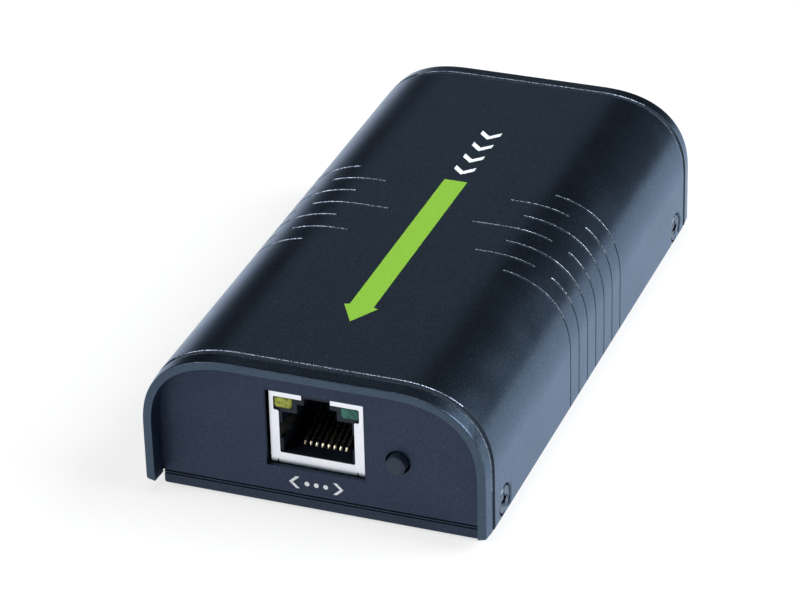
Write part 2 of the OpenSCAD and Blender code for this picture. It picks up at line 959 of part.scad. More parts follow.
// The plug space: a wide body, and a keyway of two steps for the latch
module port_space() {
    translate([0, -over, port_floor]) {
        block(port_w, port_l + over, port_h);
        block(key_w, port_l + over, port_h + key_h);
        block(latch_w, port_l + over, port_h + key_h + latch_h);
    }
}

function lan_contact_x(i) = (i - (lan_count - 1) / 2) * lan_pitch;
function lan_contact_row(i) = contact_row_y + (i % 2) * contact_row_step;

module lan_housing() {
    front = sheet_t + seat_gap;
    back = jack_l - sheet_t - seat_gap;
    color("#23272e")
        translate([jack_x, jack_y, deck_z])
            difference() {
                union() {
                    translate([0, front, 0])
                        block(jack_w - 2 * (sheet_t + seat_gap), back - front, jack_h - housing_top_drop);
                    for (side = [-1, 1])
                        translate([side * peg_x, peg_y, -board_t])
                            cylinder(d = peg_d, h = board_t + over);
                }
                port_space();
                for (side = [-1, 1]) {
                    translate([side * (jack_w / 2 - lan_led_in - lan_led_w / 2), 0, lan_led_z])
                        along_y(-over, front + lan_led_l + seat_gap)
                            lan_led_outline(seat_gap);
                    translate([side * port_w / 2, -over, leaf_z - leaf_slot_gap])
                        block(2 * (sheet_t + leaf_slot_gap + leaf_in), over + leaf_l + leaf_slot_gap,
                            leaf_h + 2 * leaf_slot_gap);
                }
                for (i = [0 : lan_count - 1])
                    translate([lan_contact_x(i), 0, 0]) {
                        low = contact_run_z - contact_t / 2 - pin_gap;
                        row = lan_contact_row(i);
                        slot_from = contact_bend_y - contact_t - pin_gap;
                        translate([0, slot_from, low])
                            block(contact_w + 2 * pin_gap, row - slot_from, port_floor - low + pin_gap);
                        translate([0, row - contact_t / 2 - pin_gap, -over])
                            block(contact_w + 2 * pin_gap, contact_t + 2 * pin_gap,
                                port_floor + over + pin_gap);
                    }
            }
}

// One contact: up from the board, forward under the floor, and back up into the plug space
function lan_contact_path(row) = [
    [row, -board_t - pin_proud],
    [row, contact_run_z],
    [contact_bend_y + contact_t, contact_run_z],
    [contact_bend_y, (contact_run_z + contact_bend_z) / 2],
    [contact_bend_y + contact_t, contact_bend_z],
    [contact_tip_y, contact_tip_z]
];

module lan_contacts() {
    color("#d9b45a")
        translate([jack_x, jack_y, deck_z])
            for (i = [0 : lan_count - 1])
                translate([lan_contact_x(i), 0, 0])
                    along_x(contact_w)
                        polygon(strip_outline(lan_contact_path(lan_contact_row(i)), contact_t));
}

// A light's front: flat on top, with round lower corners
module lan_led_outline(gap) {
    r = lan_led_corner_r + gap;
    difference() {
        translate([-lan_led_w / 2 - gap, -gap])
            square([lan_led_w + 2 * gap, lan_led_h + 2 * gap]);
        for (side = [-1, 1])
            difference() {
                translate([side * (lan_led_w / 2 + gap - r / 2) - r / 2, -gap])
                    square([r, r]);
                translate([side * (lan_led_w / 2 + gap - r), r - gap])
                    circle(r = r);
            }
    }
}

module lan_led(side) {
    translate([jack_x + side * (jack_w / 2 - lan_led_in - lan_led_w / 2), jack_y, deck_z + lan_led_z])
        along_y(lan_led_set_in, sheet_t + seat_gap + lan_led_l)
            lan_led_outline(0);
}

module lan_led_yellow() {
    color("#b4bc3c")
        lan_led(-1);
}

module lan_led_green() {
    color("#3c8c7c")
        lan_led(1);
}

// The reset switch's own frame: its front plate's outer face is at Y 0, the button's axis at Z 0
module at_switch() {
    translate([button_x, switch_y, deck_z + button_z])
        children();
}

module reset_plunger() {
    stem_front = switch_y + panel_y + button_proud;
    color("#2b3038")
        at_switch() {
            translate([0, -stem_front, 0])
                rotate([-90, 0, 0])
                    cylinder(d1 = button_d - 2 * button_edge, d2 = button_d, h = button_edge);
            translate([0, button_edge - stem_front, 0])
                rod_y(button_d, stem_front - button_edge + switch_frame_t + seat_gap);
            translate([0, switch_frame_t + seat_gap, 0])
                rod_y(button_d + collar_extra, collar_l);
            translate([0, switch_frame_t + seat_gap + collar_l, 0])
                rod_y(nose_d, nose_l);
        }
}

module reset_switch_body() {
    cavity_d = button_d + collar_extra + 2 * cavity_side_gap;
    color("#202226")
        at_switch()
            difference() {
                translate([0, switch_frame_t, -switch_h / 2])
                    block(switch_w, switch_l, switch_h);
                translate([0, switch_frame_t - over, 0])
                    rod_y(cavity_d, switch_cavity_l + over);
            }
}

module reset_switch_frame() {
    color("#c3c7cb")
        at_switch()
            difference() {
                union() {
                    translate([0, 0, -button_z])
                        block(switch_w + 2 * switch_frame_t + 2 * seat_gap, switch_frame_t,
                            button_z + switch_h / 2);
                    for (side = [-1, 1])
                        translate([side * (switch_w / 2 + seat_gap + switch_frame_t / 2), 0, -button_z])
                            block(switch_frame_t, switch_frame_t + switch_l + switch_frame_lip,
                                button_z + switch_h / 4);
                }
                translate([0, -over, 0])
                    rod_y(button_d + 2 * plunger_gap, switch_frame_t + 2 * over);
                translate([0, -over, -button_z - over])
                    block(switch_w - switch_frame_t, switch_frame_t + 2 * over,
                        button_z + over - switch_h / 2);
            }
}

// A thin snap dome that rests on the floor of the switch's cavity, crown towards the button
module reset_dome() {
    rim_r = (button_d + collar_extra) / 2 + cavity_side_gap - dome_gap_side;
    ball_r = (rim_r ^ 2 + dome_rise ^ 2) / (2 * dome_rise);
    spread = asin(rim_r / ball_r);
    steps = 10;
    outer = [for (i = [0 : steps]) ball_r * [sin(spread * i / steps), cos(spread * i / steps)]];
    inner = [for (i = [0 : steps]) outer[i] - [0, dome_t]];
    color("#d0d3d6")
        at_switch()
            translate([0, switch_frame_t + switch_cavity_l - dome_t, 0])
                rotate([90, 0, 0])
                    translate([0, 0, dome_rise - ball_r])
                        rotate_extrude()
                            polygon(concat(outer, reversed(inner)));
}

module reset_terminals() {
    back = switch_frame_t + switch_l;
    path = [
        [back, -switch_h / 4],
        [back + terminal_back, -switch_h / 4],
        [back + terminal_back, -button_z - board_t - pin_proud]
    ];
    color("#c3c7cb")
        at_switch()
            for (side = [-1, 1])
                translate([side * terminal_x, 0, 0])
                    along_x(terminal_w)
                        polygon(strip_outline(path, terminal_t));
}

// The video socket's section: straight upper sides that draw in below
function video_outline(inset) =
    let (
        x = video_w / 2 - inset,
        low_x = video_low_w / 2 - inset / 2,
        step = video_step_z + inset / 2,
        top = video_h - inset
    )
    [[-x, top], [-x, step], [-low_x, inset], [low_x, inset], [x, step], [x, top]];

module video_shell() {
    front = -panel_t - video_proud;
    color("#c7cbd0")
        at_rear(video_x)
            difference() {
                along_y(front, front + video_l)
                    polygon(video_outline(0));
                along_y(front - over, front + video_l - shell_t)
                    polygon(video_outline(shell_t));
            }
}

module video_tongue() {
    front = -panel_t - video_proud;
    back = front + video_l - shell_t - seat_gap;
    color("#1d1f22")
        at_rear(video_x) {
            along_y(back - video_body_l, back)
                polygon(video_outline(shell_t + seat_gap));
            translate([0, front + tongue_in, (video_h - tongue_t) / 2])
                block(tongue_w, back - video_body_l - front - tongue_in + over, tongue_t);
        }
}

module video_contacts() {
    front = -panel_t - video_proud + tongue_in + video_contact_w;
    color("#d9b45a")
        at_rear(video_x)
            for (row = [0, 1]) {
                z = row == 0 ? (video_h + tongue_t) / 2 : (video_h - tongue_t) / 2 - video_contact_t;
                count = video_contact_count - row;
                for (i = [0 : count - 1])
                    translate([(i - (count - 1) / 2) * video_contact_pitch, front, z])
                        block(video_contact_w, video_contact_l, video_contact_t);
            }
}

module ir_housing() {
    color("#202226")
        at_rear(ir_x)
            difference() {
                translate([0, socket_back_gap, 0])
                    block(ir_w, ir_l, ir_h);
                translate([0, 0, ir_h / 2]) {
                    rod_y(ir_collar_d + 2 * seat_gap, ir_collar_l - panel_t - ir_collar_proud);
                    rod_y(ir_inner_d, ir_l + socket_back_gap - ir_back_t);
                    for (side = [-1, 1])
                        translate([side * (ir_slot_in + ir_slot_out) / 2, ir_collar_l - panel_t,
                            -ir_leaf_h / 2 - pin_gap])
                            block(ir_slot_out - ir_slot_in, ir_l - ir_collar_l, ir_leaf_h + 2 * pin_gap);
                }
            }
}

module ir_collar() {
    front = -panel_t - ir_collar_proud;
    color("#c7cbd0")
        at_rear(ir_x)
            translate([0, front, ir_h / 2])
                difference() {
                    rod_y(ir_collar_d, ir_collar_l);
                    translate([0, -over, 0])
                        rod_y(ir_bore_d, ir_collar_l + 2 * over);
                }
}

// Two leaves that press on the plug from both sides
module ir_springs() {
    from = ir_collar_l - panel_t + pin_gap;
    to = ir_l - panel_t - pin_gap;
    path = [
        [ir_leaf_x, from],
        [ir_leaf_x - ir_leaf_in, (2 * from + to) / 3],
        [ir_leaf_x, (from + 2 * to) / 3],
        [ir_leaf_x, to]
    ];
    color("#d9b45a")
        at_rear(ir_x)
            for (side = [0, 1])
                mirror([side, 0, 0])
                    translate([0, 0, (ir_h - ir_leaf_h) / 2])
                        linear_extrude(ir_leaf_h)
                            polygon(strip_outline(path, ir_leaf_t));
}

module dc_housing() {
    color("#1d1f22")
        at_rear(dc_x)
            translate([0, socket_back_gap, 0])
                difference() {
                    union() {
                        block(dc_w, dc_front_l, dc_h);
                        block(dc_w, dc_l, dc_axis_z);
                        translate([0, 0, dc_axis_z])
                            rod_y(dc_w, dc_l);
                    }
                    translate([0, -over, dc_axis_z])
                        rod_y(dc_bore_d, dc_bore_l + over);
                    translate([0, 0, dc_axis_z])
                        rod_y(dc_pin_root_d + 2 * seat_gap, dc_l + over);
                    translate([0, dc_leaf_y, dc_axis_z - dc_bore_d / 2 - dc_leaf_t - 2 * dc_leaf_gap])
                        block(dc_leaf_w + 2 * dc_leaf_gap, dc_l, dc_leaf_t + 4 * dc_leaf_gap);
                }
}

// The centre pin: thicker where it stands in the housing, with a riveted tail
module dc_pin() {
    root_y = dc_bore_l - dc_pin_root_proud;
    color("#d4d7da")
        at_rear(dc_x)
            translate([0, socket_back_gap, dc_axis_z]) {
                translate([0, dc_pin_in, 0])
                    rod_y(dc_pin_d, root_y - dc_pin_in);
                translate([0, root_y, 0])
                    rod_y(dc_pin_root_d, dc_l - root_y);
                translate([0, dc_l, 0])
                    rod_y(dc_pin_tail_d, dc_pin_tail);
            }
}

// The leaf that presses on the plug's sleeve, and its leg down to the board
module dc_spring() {
    low = dc_axis_z - dc_bore_d / 2 - dc_leaf_t / 2 - dc_leaf_gap;
    path = [
        [dc_leaf_y + dc_leaf_gap, low],
        [dc_bore_l / 2, low + dc_leaf_rise],
        [dc_bore_l - dc_leaf_gap, low],
        [dc_l + dc_leaf_t / 2 + dc_leaf_gap, low],
        [dc_l + dc_leaf_t / 2 + dc_leaf_gap, 0]
    ];
    color("#c7cbd0")
        at_rear(dc_x)
            translate([0, socket_back_gap, 0])
                along_x(dc_leaf_w)
                    polygon(strip_outline(path, dc_leaf_t));
}

module power_led() {
    front = -panel_t - led_nose / 2;
    color("#c8402c")
        at_rear(led_x)
            translate([0, front, led_z]) {
                rotate([-90, 0, 0])
                    cylinder(d1 = led_d - led_nose, d2 = led_d, h = led_nose);
                translate([0, led_nose, 0])
                    rod_y(led_d, led_l);
            }
}

module power_led_holder() {
    color("#202226")
        at_rear(led_x)
            difference() {
                translate([0, socket_back_gap, 0])
                    block(led_holder_w, led_holder_l, led_holder_h);
                translate([0, 0, led_z])
                    rod_y(led_d + 2 * seat_gap, led_l);
            }
}

// A chip with rows of flat leads along two or four sides
module leaded_chip(size, leads, pitch, turns) {
    translate([0, 0, chip_lift])
        pad(size[0], size[1], size[2] - chip_lift);
    for (turn = turns) {
        half = turn % 180 == 0 ? size[1] / 2 : size[0] / 2;
        rotate([0, 0, turn])
            for (i = [0 : leads - 1])
                translate([(i - (leads - 1) / 2) * pitch, half - chip_lead_t, 0])
                    block(pitch * chip_lead_share, chip_lead_out + chip_lead_t, chip_lead_t);
    }
}

module video_processor() {
    color("#2a2c30")
        on_board([processor_place])
            pad(processor_w, processor_w, processor_h);
}

module thermal_pad() {
    color("#9aa4b4")
        on_board([processor_place])
            translate([0, 0, processor_h])
                pad(sink_w, sink_w, pad_t);
}

module heat_sink() {
    fin_pitch = (sink_w - fin_t) / (fin_count - 1);
    color("#b8bcc2")
        on_board([processor_place])
            translate([0, 0, processor_h + pad_t]) {
                pad(sink_w, sink_w, sink_base_h);
                for (i = [0 : fin_count - 1])
                    translate([(i - (fin_count - 1) / 2) * fin_pitch, 0, 0])
                        pad(fin_t, sink_w, sink_base_h + fin_h);
            }
}

module memory_chips() {
    color("#2a2c30")
        on_board(memory_places)
            pad(memory_w, memory_l, memory_h);
}

module flash_chip() {
    color("#2a2c30")
        on_board([flash_place])
            leaded_chip(flash_size, flash_leads, flash_pitch, [0, 180]);
}

module network_chip() {
    color("#2a2c30")
        on_board([network_place])
            leaded_chip(network_size, network_leads, network_pitch, [0, 90, 180, 270]);
}

module network_transformer() {
    color("#202226")
        on_board([transformer_place])
            leaded_chip(transformer_size, transformer_leads, transformer_pitch, [0, 180]);
}

module video_receiver() {
    color("#2a2c30")
        on_board([receiver_place])
            leaded_chip(receiver_size, receiver_leads, receiver_pitch, [0, 90, 180, 270]);
}

// A regulator: a body with a wide tab on one side and three leads on the other
module power_regulators() {
    w = regulator_size[0];
    l = regulator_size[1];
    color("#2a2c30")
        on_board([regulator_place, regulator_place + [0, regulator_pitch]]) {
            pad(w, l, regulator_size[2]);
            translate([0, l / 2 - regulator_lead_t, 0])
                block(regulator_tab_w, regulator_tab_l + regulator_lead_t, regulator_lead_t);
            for (i = [-1, 0, 1])
                translate([i * w / 3, -l / 2 - regulator_tab_l, 0])
                    block(regulator_lead_w, regulator_tab_l + regulator_lead_t, regulator_lead_t);
        }
}

module power_inductors() {
    cut = coil_w * coil_chamfer_share;
    half = coil_w / 2;
    color("#4a4c50")
        on_board(inductor_places) {
            linear_extrude(coil_h - coil_cap_h)
                polygon([
                    [half - cut, -half], [half, cut - half], [half, half - cut], [half - cut, half],
                    [cut - half, half], [-half, half - cut], [-half, cut - half], [cut - half, -half]
                ]);
            cylinder(d = coil_w * coil_cap_share, h = coil_h);
        }
}

// A capacitor's can: a groove rolled in near its foot and a soft top edge
module capacitor_cans() {
    r = can_d / 2;
    color("#c3c7cb")
        on_board(can_places)
            translate([0, 0, can_base_h])
                rotate_extrude()
                    polygon([
                        [0, 0], [r, 0],
                        [r, can_groove_z - can_groove_w / 2],
                        [r - can_groove_depth, can_groove_z],
                        [r, can_groove_z + can_groove_w / 2],
                        [r, can_h - can_edge_r],
                        [r - can_edge_r, can_h],
                        [0, can_h]
                    ]);
}

module capacitor_bases() {
    color("#202226")
        on_board(can_places)
            pad(can_w, can_w, can_base_h);
}

// A crystal: a can with round ends on a thin brim
module clock_crystals() {
    color("#c7cbd0")
        on_board(crystal_places) {
            for (end = [-1, 1])
                translate([0, end * (crystal_l - crystal_w) / 2, 0])
                    cylinder(d = crystal_w - 2 * crystal_brim, h = crystal_h);
            pad(crystal_w - 2 * crystal_brim, crystal_l - crystal_w, crystal_h);
            pad(crystal_w, crystal_l, crystal_brim_h);
        }
}

// A column of small parts along the board
module passive_column() {
    for (i = [0 : passive_count - 1])
        translate([0, (i - (passive_count - 1) / 2) * passive_pitch, 0])
            pad(passive_l, passive_w, passive_h);
}

module chip_resistors() {
    color("#26282c")
        on_board(resistor_places)
            passive_column();
}

module chip_capacitors() {
    color("#b39a78")
        on_board(capacitor_places)
            passive_column();
}

top_cover();
base_plate();
front_panel();
rear_panel();
side_screws();
rubber_feet();
main_board();
board_standoffs();
board_screws();
lan_shield();
lan_housing();
lan_contacts();
lan_led_yellow();
lan_led_green();
reset_plunger();
reset_switch_body();
reset_switch_frame();
reset_dome();
reset_terminals();
video_shell();
video_tongue();
video_contacts();
ir_housing();
ir_collar();
ir_springs();
dc_housing();
dc_pin();
dc_spring();
power_led();
power_led_holder();
video_processor();
thermal_pad();
heat_sink();
memory_chips();
flash_chip();
network_chip();
network_transformer();
video_receiver();
power_regulators();
power_inductors();
capacitor_cans();
capacitor_bases();
clock_crystals();
chip_resistors();
chip_capacitors();
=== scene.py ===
"""The looks of a small network extender: an arched metal cover over a folded base."""

import json
import math

import bmesh
import bpy
import numpy as np
from mathutils import Matrix, Vector

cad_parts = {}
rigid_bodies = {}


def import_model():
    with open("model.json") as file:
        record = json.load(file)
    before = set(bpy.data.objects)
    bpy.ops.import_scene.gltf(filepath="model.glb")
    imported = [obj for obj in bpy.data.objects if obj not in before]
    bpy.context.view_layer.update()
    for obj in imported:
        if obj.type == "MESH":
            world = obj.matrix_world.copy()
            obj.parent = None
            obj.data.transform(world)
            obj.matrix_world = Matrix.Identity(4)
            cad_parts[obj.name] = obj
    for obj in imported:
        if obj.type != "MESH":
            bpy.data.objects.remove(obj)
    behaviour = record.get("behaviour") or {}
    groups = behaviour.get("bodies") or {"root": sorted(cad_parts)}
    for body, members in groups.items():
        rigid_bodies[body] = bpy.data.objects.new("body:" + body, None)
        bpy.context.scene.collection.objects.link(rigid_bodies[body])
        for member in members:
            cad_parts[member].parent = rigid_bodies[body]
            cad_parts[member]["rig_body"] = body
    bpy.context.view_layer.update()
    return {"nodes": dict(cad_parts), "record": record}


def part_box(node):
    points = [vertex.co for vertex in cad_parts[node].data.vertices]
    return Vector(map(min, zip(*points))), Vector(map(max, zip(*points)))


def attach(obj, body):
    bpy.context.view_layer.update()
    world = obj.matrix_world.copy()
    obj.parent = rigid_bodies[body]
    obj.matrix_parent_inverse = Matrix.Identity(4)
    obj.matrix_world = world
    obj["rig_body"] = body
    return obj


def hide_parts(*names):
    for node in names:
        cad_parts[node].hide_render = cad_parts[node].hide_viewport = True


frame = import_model()
nodes = frame["nodes"]
slot_of = {part["node"]: part["material_slot"] for part in frame["record"]["subparts"]}

# Sizes of the object are in millimetres, and become metres where a mesh or a node is made.
# The lamps and the floor's reach are in metres
MM = 0.001

# The cover. Heights in its outline start at the lower edge of its legs
cover_low, cover_high = (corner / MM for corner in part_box("top_cover"))
CASE_L = cover_high.y - cover_low.y
CASE_W = cover_high.x - cover_low.x
LEG_Z = cover_low.z
TOP_Z = cover_high.z
COVER_H = TOP_Z - LEG_Z
WALL = 1.7

# The shoulder between a leg and the top is a quarter of a superellipse
SHOULDER_W = 16.9
SHOULDER_H = 14.7
SHOULDER_POWER = 2.43
FLAT_X = CASE_W / 2 - SHOULDER_W
FLAT_Z = COVER_H - SHOULDER_H

# Steps of the outline, from a leg's rounded lower edge to the middle of the top
FOOT_EDGE_R = 0.8
FOOT_STEPS = 6
SIDE_STEPS = 30
SHOULDER_STEPS = 96
FLAT_STEPS = 60

# The legs' corners at the ends of the case, which lift the points of the outline below FOOT_BLEND
LEG_CORNER_R = 0.5
FOOT_BLEND = 2.0

# Speed lines across the cover: how far each reaches in from the side of the case, line by line.
# Every second one is broken between two reaches
LINE_W = 0.46
LINE_DEPTH = 0.22
LINE_PITCH = 4.57
LINE_REACHES = (11.55, 17.95, 14.15, 21.75, 14.15, 17.95, 11.55)
LINE_YS = [(i - len(LINE_REACHES) // 2) * LINE_PITCH for i in range(len(LINE_REACHES))]
BREAK_FROM = 4.65
BREAK_TO = 7.75
LINE_END_SOFT = 0.35

# A groove round the cover near each end; beyond it the cover falls away a little towards its edge
END_GROOVE_Y = CASE_L / 2 - 3.1
END_GROOVE_W = 1.05
END_GROOVE_DEPTH = 0.4
END_FALL = 0.25

# Further rings of points on the cover: so far from each end, and every step between the ends
# where no other ring is near. The inner face has evenly spaced ones
END_RINGS = (0.6, 0.9, 1.3, 1.7, 2.1, 4.0, 5.0)
RING_REACH = 50
RING_STEP = 2
RING_CLEAR = 0.6
INNER_RING_REACH = 48
INNER_RINGS = 13

# The skin lies a hair inside the solid, and its edges at the ends of the case are rounded
SKIN_IN = 0.02
OUTER_EDGE_R = 0.14
OUTER_EDGE_STEPS = 5
INNER_EDGE_R = 0.1
INNER_EDGE_STEPS = 4

# Painted highlights on the lips of lines and grooves, in paler paint where they catch the light:
# how wide a lip is, and from which height it is painted. An end groove's height goes by the end of
# the case and by whether the lip is on the rim's side
LIP = 0.05
END_LIP = 0.14
HIGHLIGHT_FROM = 17.0
HIGHLIGHT_FROM_LEFT = 22.5
END_HIGHLIGHT_FROM = {(-1, True): 8.0, (-1, False): 22.0, (1, True): 23.5, (1, False): 14.0}

# The four materials on the cover's faces, and their numbers there: the paint, the rim's tone, a
# painted highlight for the lips, and a painted shade for the insides of lines and grooves
COATS = ("cover_paint", "cover_rim", "cover_lip_highlight", "cover_groove_shade")
PAINT, RIM, LIP_HIGHLIGHT, GROOVE_SHADE = range(len(COATS))

# Side screws in their recesses, and the slots that hold the panels
SCREW_Y = CASE_L / 2 - 8.5
SCREW_Z = LEG_Z + 3
SCREW_HOLE_D = 2.8
RECESS_D = 5.4
RECESS_DEPTH = 1.1
RECESS_LIP = 0.18
PANEL_Y = CASE_L / 2 - 4.0
SLOT_W = 1.1
SLOT_DEPTH = 0.6

# Softened edges of the pieces that show, by node
EDGES = {
    "front_panel": 0.08, "rear_panel": 0.08, "base_plate": 0.12, "side_screws": 0.08,
    "rubber_feet": 0.35, "lan_shield": 0.05, "lan_housing": 0.06, "lan_led_yellow": 0.25,
    "lan_led_green": 0.25, "lan_contacts": 0.05, "reset_plunger": 0.1, "video_shell": 0.06,
    "video_tongue": 0.08, "video_contacts": 0.03, "ir_housing": 0.1, "ir_collar": 0.1,
    "dc_housing": 0.12, "dc_pin": 0.15, "dc_spring": 0.05, "power_led": 0.1,
}
EDGE_SEGMENTS = 2
EDGE_ANGLE = math.radians(30)

# Print: an arrow towards -Y on the top, with chevrons behind it, and a sign under the socket
INK_T = 0.03
INK_SUNK = 0.015
ARROW_HALF_W = 2.05
ARROW_HEAD_HALF_W = 2.9
ARROW_TAIL_Y = 12.9
ARROW_NECK_Y = -32.35
ARROW_WING_Y = -32.65
ARROW_TIP_Y = -37.65
CHEVRON_FROM_Y = 17.2
CHEVRON_PITCH = 4.6
CHEVRON_COUNT = 4
SIGN_Z = LEG_Z + 2.6
SIGN_CHEVRON_X = 3.6
SIGN_DOT_X = (-1.6, 0, 1.6)
SIGN_DOT_R = 0.42


# Materials


def linear(r, g, b):
    """A colour written as 0 to 255 in a picture, as the shader wants it."""
    def one(c):
        c /= 255
        return c / 12.92 if c <= 0.04045 else ((c + 0.055) / 1.055) ** 2.4

    return (one(r), one(g), one(b), 1)


class Shader:
    """A node material in the making. Its surface is the Principled shader."""

    LATTICE_TURN = (0.61, 0.94, 0.37)

    def __init__(self, name):
        self.material = bpy.data.materials.new(name)
        self.material.use_nodes = True
        self.tree = self.material.node_tree
        self.surface = self.tree.nodes["Principled BSDF"]
        self.coordinates = self.add("ShaderNodeTexCoord").outputs["Object"]
        self.normal = None

    def add(self, kind, **settings):
        node = self.tree.nodes.new(kind)
        for key, value in settings.items():
            setattr(node, key, value)
        return node

    def feed(self, source, socket):
        """Gives a socket its source, which is another node's output or a constant."""
        if isinstance(source, bpy.types.NodeSocket):
            self.tree.links.new(source, socket)
        else:
            socket.default_value = source

    def set(self, **values):
        """Constants on the surface, with _ for a space in the name of a socket."""
        for key, value in values.items():
            self.surface.inputs[key.replace("_", " ")].default_value = value

    def math(self, operation, first, second, use_clamp=False):
        node = self.add("ShaderNodeMath", operation=operation, use_clamp=use_clamp)
        self.feed(first, node.inputs[0])
        self.feed(second, node.inputs[1])
        return node.outputs[0]

    def vector_math(self, operation, *sources):
        node = self.add("ShaderNodeVectorMath", operation=operation)
        for source, socket in zip(sources, node.inputs):
            self.feed(source, socket)
        return node.outputs["Value" if operation == "LENGTH" else "Vector"]

    def map_range(self, value, start, end, low=0.0, high=1.0):
        """A number that goes from low to high while a value goes from start to end."""
        node = self.add("ShaderNodeMapRange")
        self.feed(value, node.inputs["Value"])
        limits = {"From Min": start, "From Max": end, "To Min": low, "To Max": high}
        for socket, number in limits.items():
            self.feed(number, node.inputs[socket])
        return node.outputs["Result"]

    def mix(self, factor, first, second):
        """A colour between two."""
        node = self.add("ShaderNodeMix", data_type="RGBA")
        for source, socket in ((factor, "Factor"), (first, "A"), (second, "B")):
            self.feed(source, node.inputs[socket])
        return node.outputs["Result"]

    def lattice(self, size_mm, stretch=(1, 1, 1)):
        """Coordinates in steps of size_mm, turned so that a texture's lattice follows no face."""
        mapping = self.add("ShaderNodeMapping")
        self.feed([s / (size_mm * MM) for s in stretch], mapping.inputs["Scale"])
        self.feed(self.LATTICE_TURN, mapping.inputs["Rotation"])
        self.feed(self.coordinates, mapping.inputs["Vector"])
        return mapping.outputs["Vector"]

    def noise(self, size_mm, detail, stretch=(1, 1, 1)):
        """Noise whose features are about size_mm across."""
        noise = self.add("ShaderNodeTexNoise")
        self.feed(1, noise.inputs["Scale"])
        self.feed(detail, noise.inputs["Detail"])
        self.feed(self.lattice(size_mm, stretch), noise.inputs["Vector"])
        return noise.outputs["Fac"]

    def ramp(self, factor, dark, light, change=(0.3, 0.7)):
        """A colour that goes from dark to light as a texture changes."""
        node = self.add("ShaderNodeValToRGB")
        for element, place, colour in zip(node.color_ramp.elements, change, (dark, light)):
            element.position = place
            element.color = colour
        self.feed(factor, node.inputs["Fac"])
        return node.outputs["Color"]

    def colour(self, source):
        self.feed(source, self.surface.inputs["Base Color"])

    def roughness(self, factor, low, high):
        """Roughness between low and high that follows a texture."""
        self.feed(self.map_range(factor, 0.3, 0.7, low, high), self.surface.inputs["Roughness"])

    def bump(self, factor, depth_mm, strength):
        """Bumps as deep as depth_mm, on top of those already made."""
        node = self.add("ShaderNodeBump")
        self.feed(strength, node.inputs["Strength"])
        self.feed(depth_mm * MM, node.inputs["Distance"])
        self.feed(factor, node.inputs["Height"])
        if self.normal is not None:
            self.feed(self.normal, node.inputs["Normal"])
        self.normal = node.outputs["Normal"]
        self.feed(self.normal, self.surface.inputs["Normal"])


def flecked_paint(name, dark, light, rough, fleck, edge, metal=1.0, grain_mm=0.16,
                  grain_depth=0.008, change=(0.35, 0.65), coat=0.0):
    """Satin paint with a fine grain and some paler flecks; edge is its tint seen at a low angle."""
    fleck_mm, fleck_share = 0.1, 0.14
    made = Shader(name)
    grain = made.noise(grain_mm, 3)
    cells = made.add("ShaderNodeTexVoronoi")
    made.feed(1, cells.inputs["Scale"])
    made.feed(made.lattice(fleck_mm), cells.inputs["Vector"])
    draw = made.add("ShaderNodeSeparateColor")
    made.feed(cells.outputs["Color"], draw.inputs["Color"])
    chosen = made.map_range(draw.outputs["Red"], 1 - fleck_share, 1)
    made.colour(made.mix(chosen, made.ramp(grain, dark, light, change), fleck))
    made.roughness(made.noise(9, 3), *rough)
    made.bump(grain, grain_depth, 0.5)
    made.bump(made.noise(grain_mm * 4, 2), grain_depth * 2, 0.35)
    made.set(Metallic=metal, Specular_Tint=edge, Coat_Weight=coat, Coat_Roughness=0.28)
    return made.material


def plain_plastic(name, dark, light, rough, grain_mm=0.35, grain_depth=0.006, shine=0.5):
    """Moulded plastic or rubber: faint patches of colour and a fine, slightly uneven grain."""
    made = Shader(name)
    grain = made.noise(grain_mm, 3)
    made.colour(made.ramp(made.noise(2.5, 3), dark, light))
    made.roughness(grain, *rough)
    made.bump(grain, grain_depth, 0.6)
    made.set(Specular_IOR_Level=shine)
    return made.material


def plated_metal(name, dark, light, rough, stretch=(1, 1, 1), streak_mm=0.5, depth=0.002):
    """Bare or plated metal, with faint marks from rolling or drawing."""
    made = Shader(name)
    marks = made.noise(streak_mm, 4, stretch)
    made.colour(made.ramp(made.noise(3, 3), dark, light))
    made.roughness(marks, *rough)
    made.bump(marks, depth, 0.5)
    made.set(Metallic=1.0)
    return made.material


def screw_metal(name, dark, light, cross_shade, rough):
    """Plated steel for the side screws, with painted shade in the middle of a head and below its
    face, in the cross.
    """
    made = Shader(name)
    mirrored = made.vector_math("ABSOLUTE", made.coordinates)
    from_axis = made.vector_math("SUBTRACT", mirrored, (0, SCREW_Y * MM, SCREW_Z * MM))
    radius = made.vector_math("LENGTH", made.vector_math("MULTIPLY", from_axis, (0, 1, 1)))
    split = made.add("ShaderNodeSeparateXYZ")
    made.feed(from_axis, split.inputs["Vector"])
    face_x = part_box("side_screws")[1].x
    below_face, dark_r, light_r = 0.2, 0.65, 1.0
    on_face = made.map_range(split.outputs["X"], face_x - below_face * MM, face_x - 0.03 * MM)
    off_centre = made.map_range(radius, dark_r * MM, light_r * MM)
    steel = made.ramp(made.noise(0.9, 3), dark, light, (0.35, 0.65))
    # Painted shade: the cross's dark colour in the middle of the head and below its face
    made.colour(made.mix(made.math("MULTIPLY", on_face, off_centre), cross_shade, steel))
    made.roughness(made.noise(0.5, 4), *rough)
    made.bump(made.noise(1.6, 1), 0.05, 0.5)
    made.set(Metallic=1.0, Specular_Tint=(0.6, 0.66, 0.74, 1))
    return made.material


def clear_lens(name, dark, light):
    """A tinted lens: slightly milky, with a smooth wet-looking face."""
    made = Shader(name)
    made.colour(made.ramp(made.noise(0.8, 3), dark, light))
    made.roughness(made.noise(0.5, 2), 0.1, 0.2)
    made.set(Transmission_Weight=0.2, IOR=1.5, Subsurface_Weight=0.3, Subsurface_Scale=0.6 * MM,
             Specular_IOR_Level=0.25, Coat_Weight=0.15, Coat_Roughness=0.08)
    return made.material


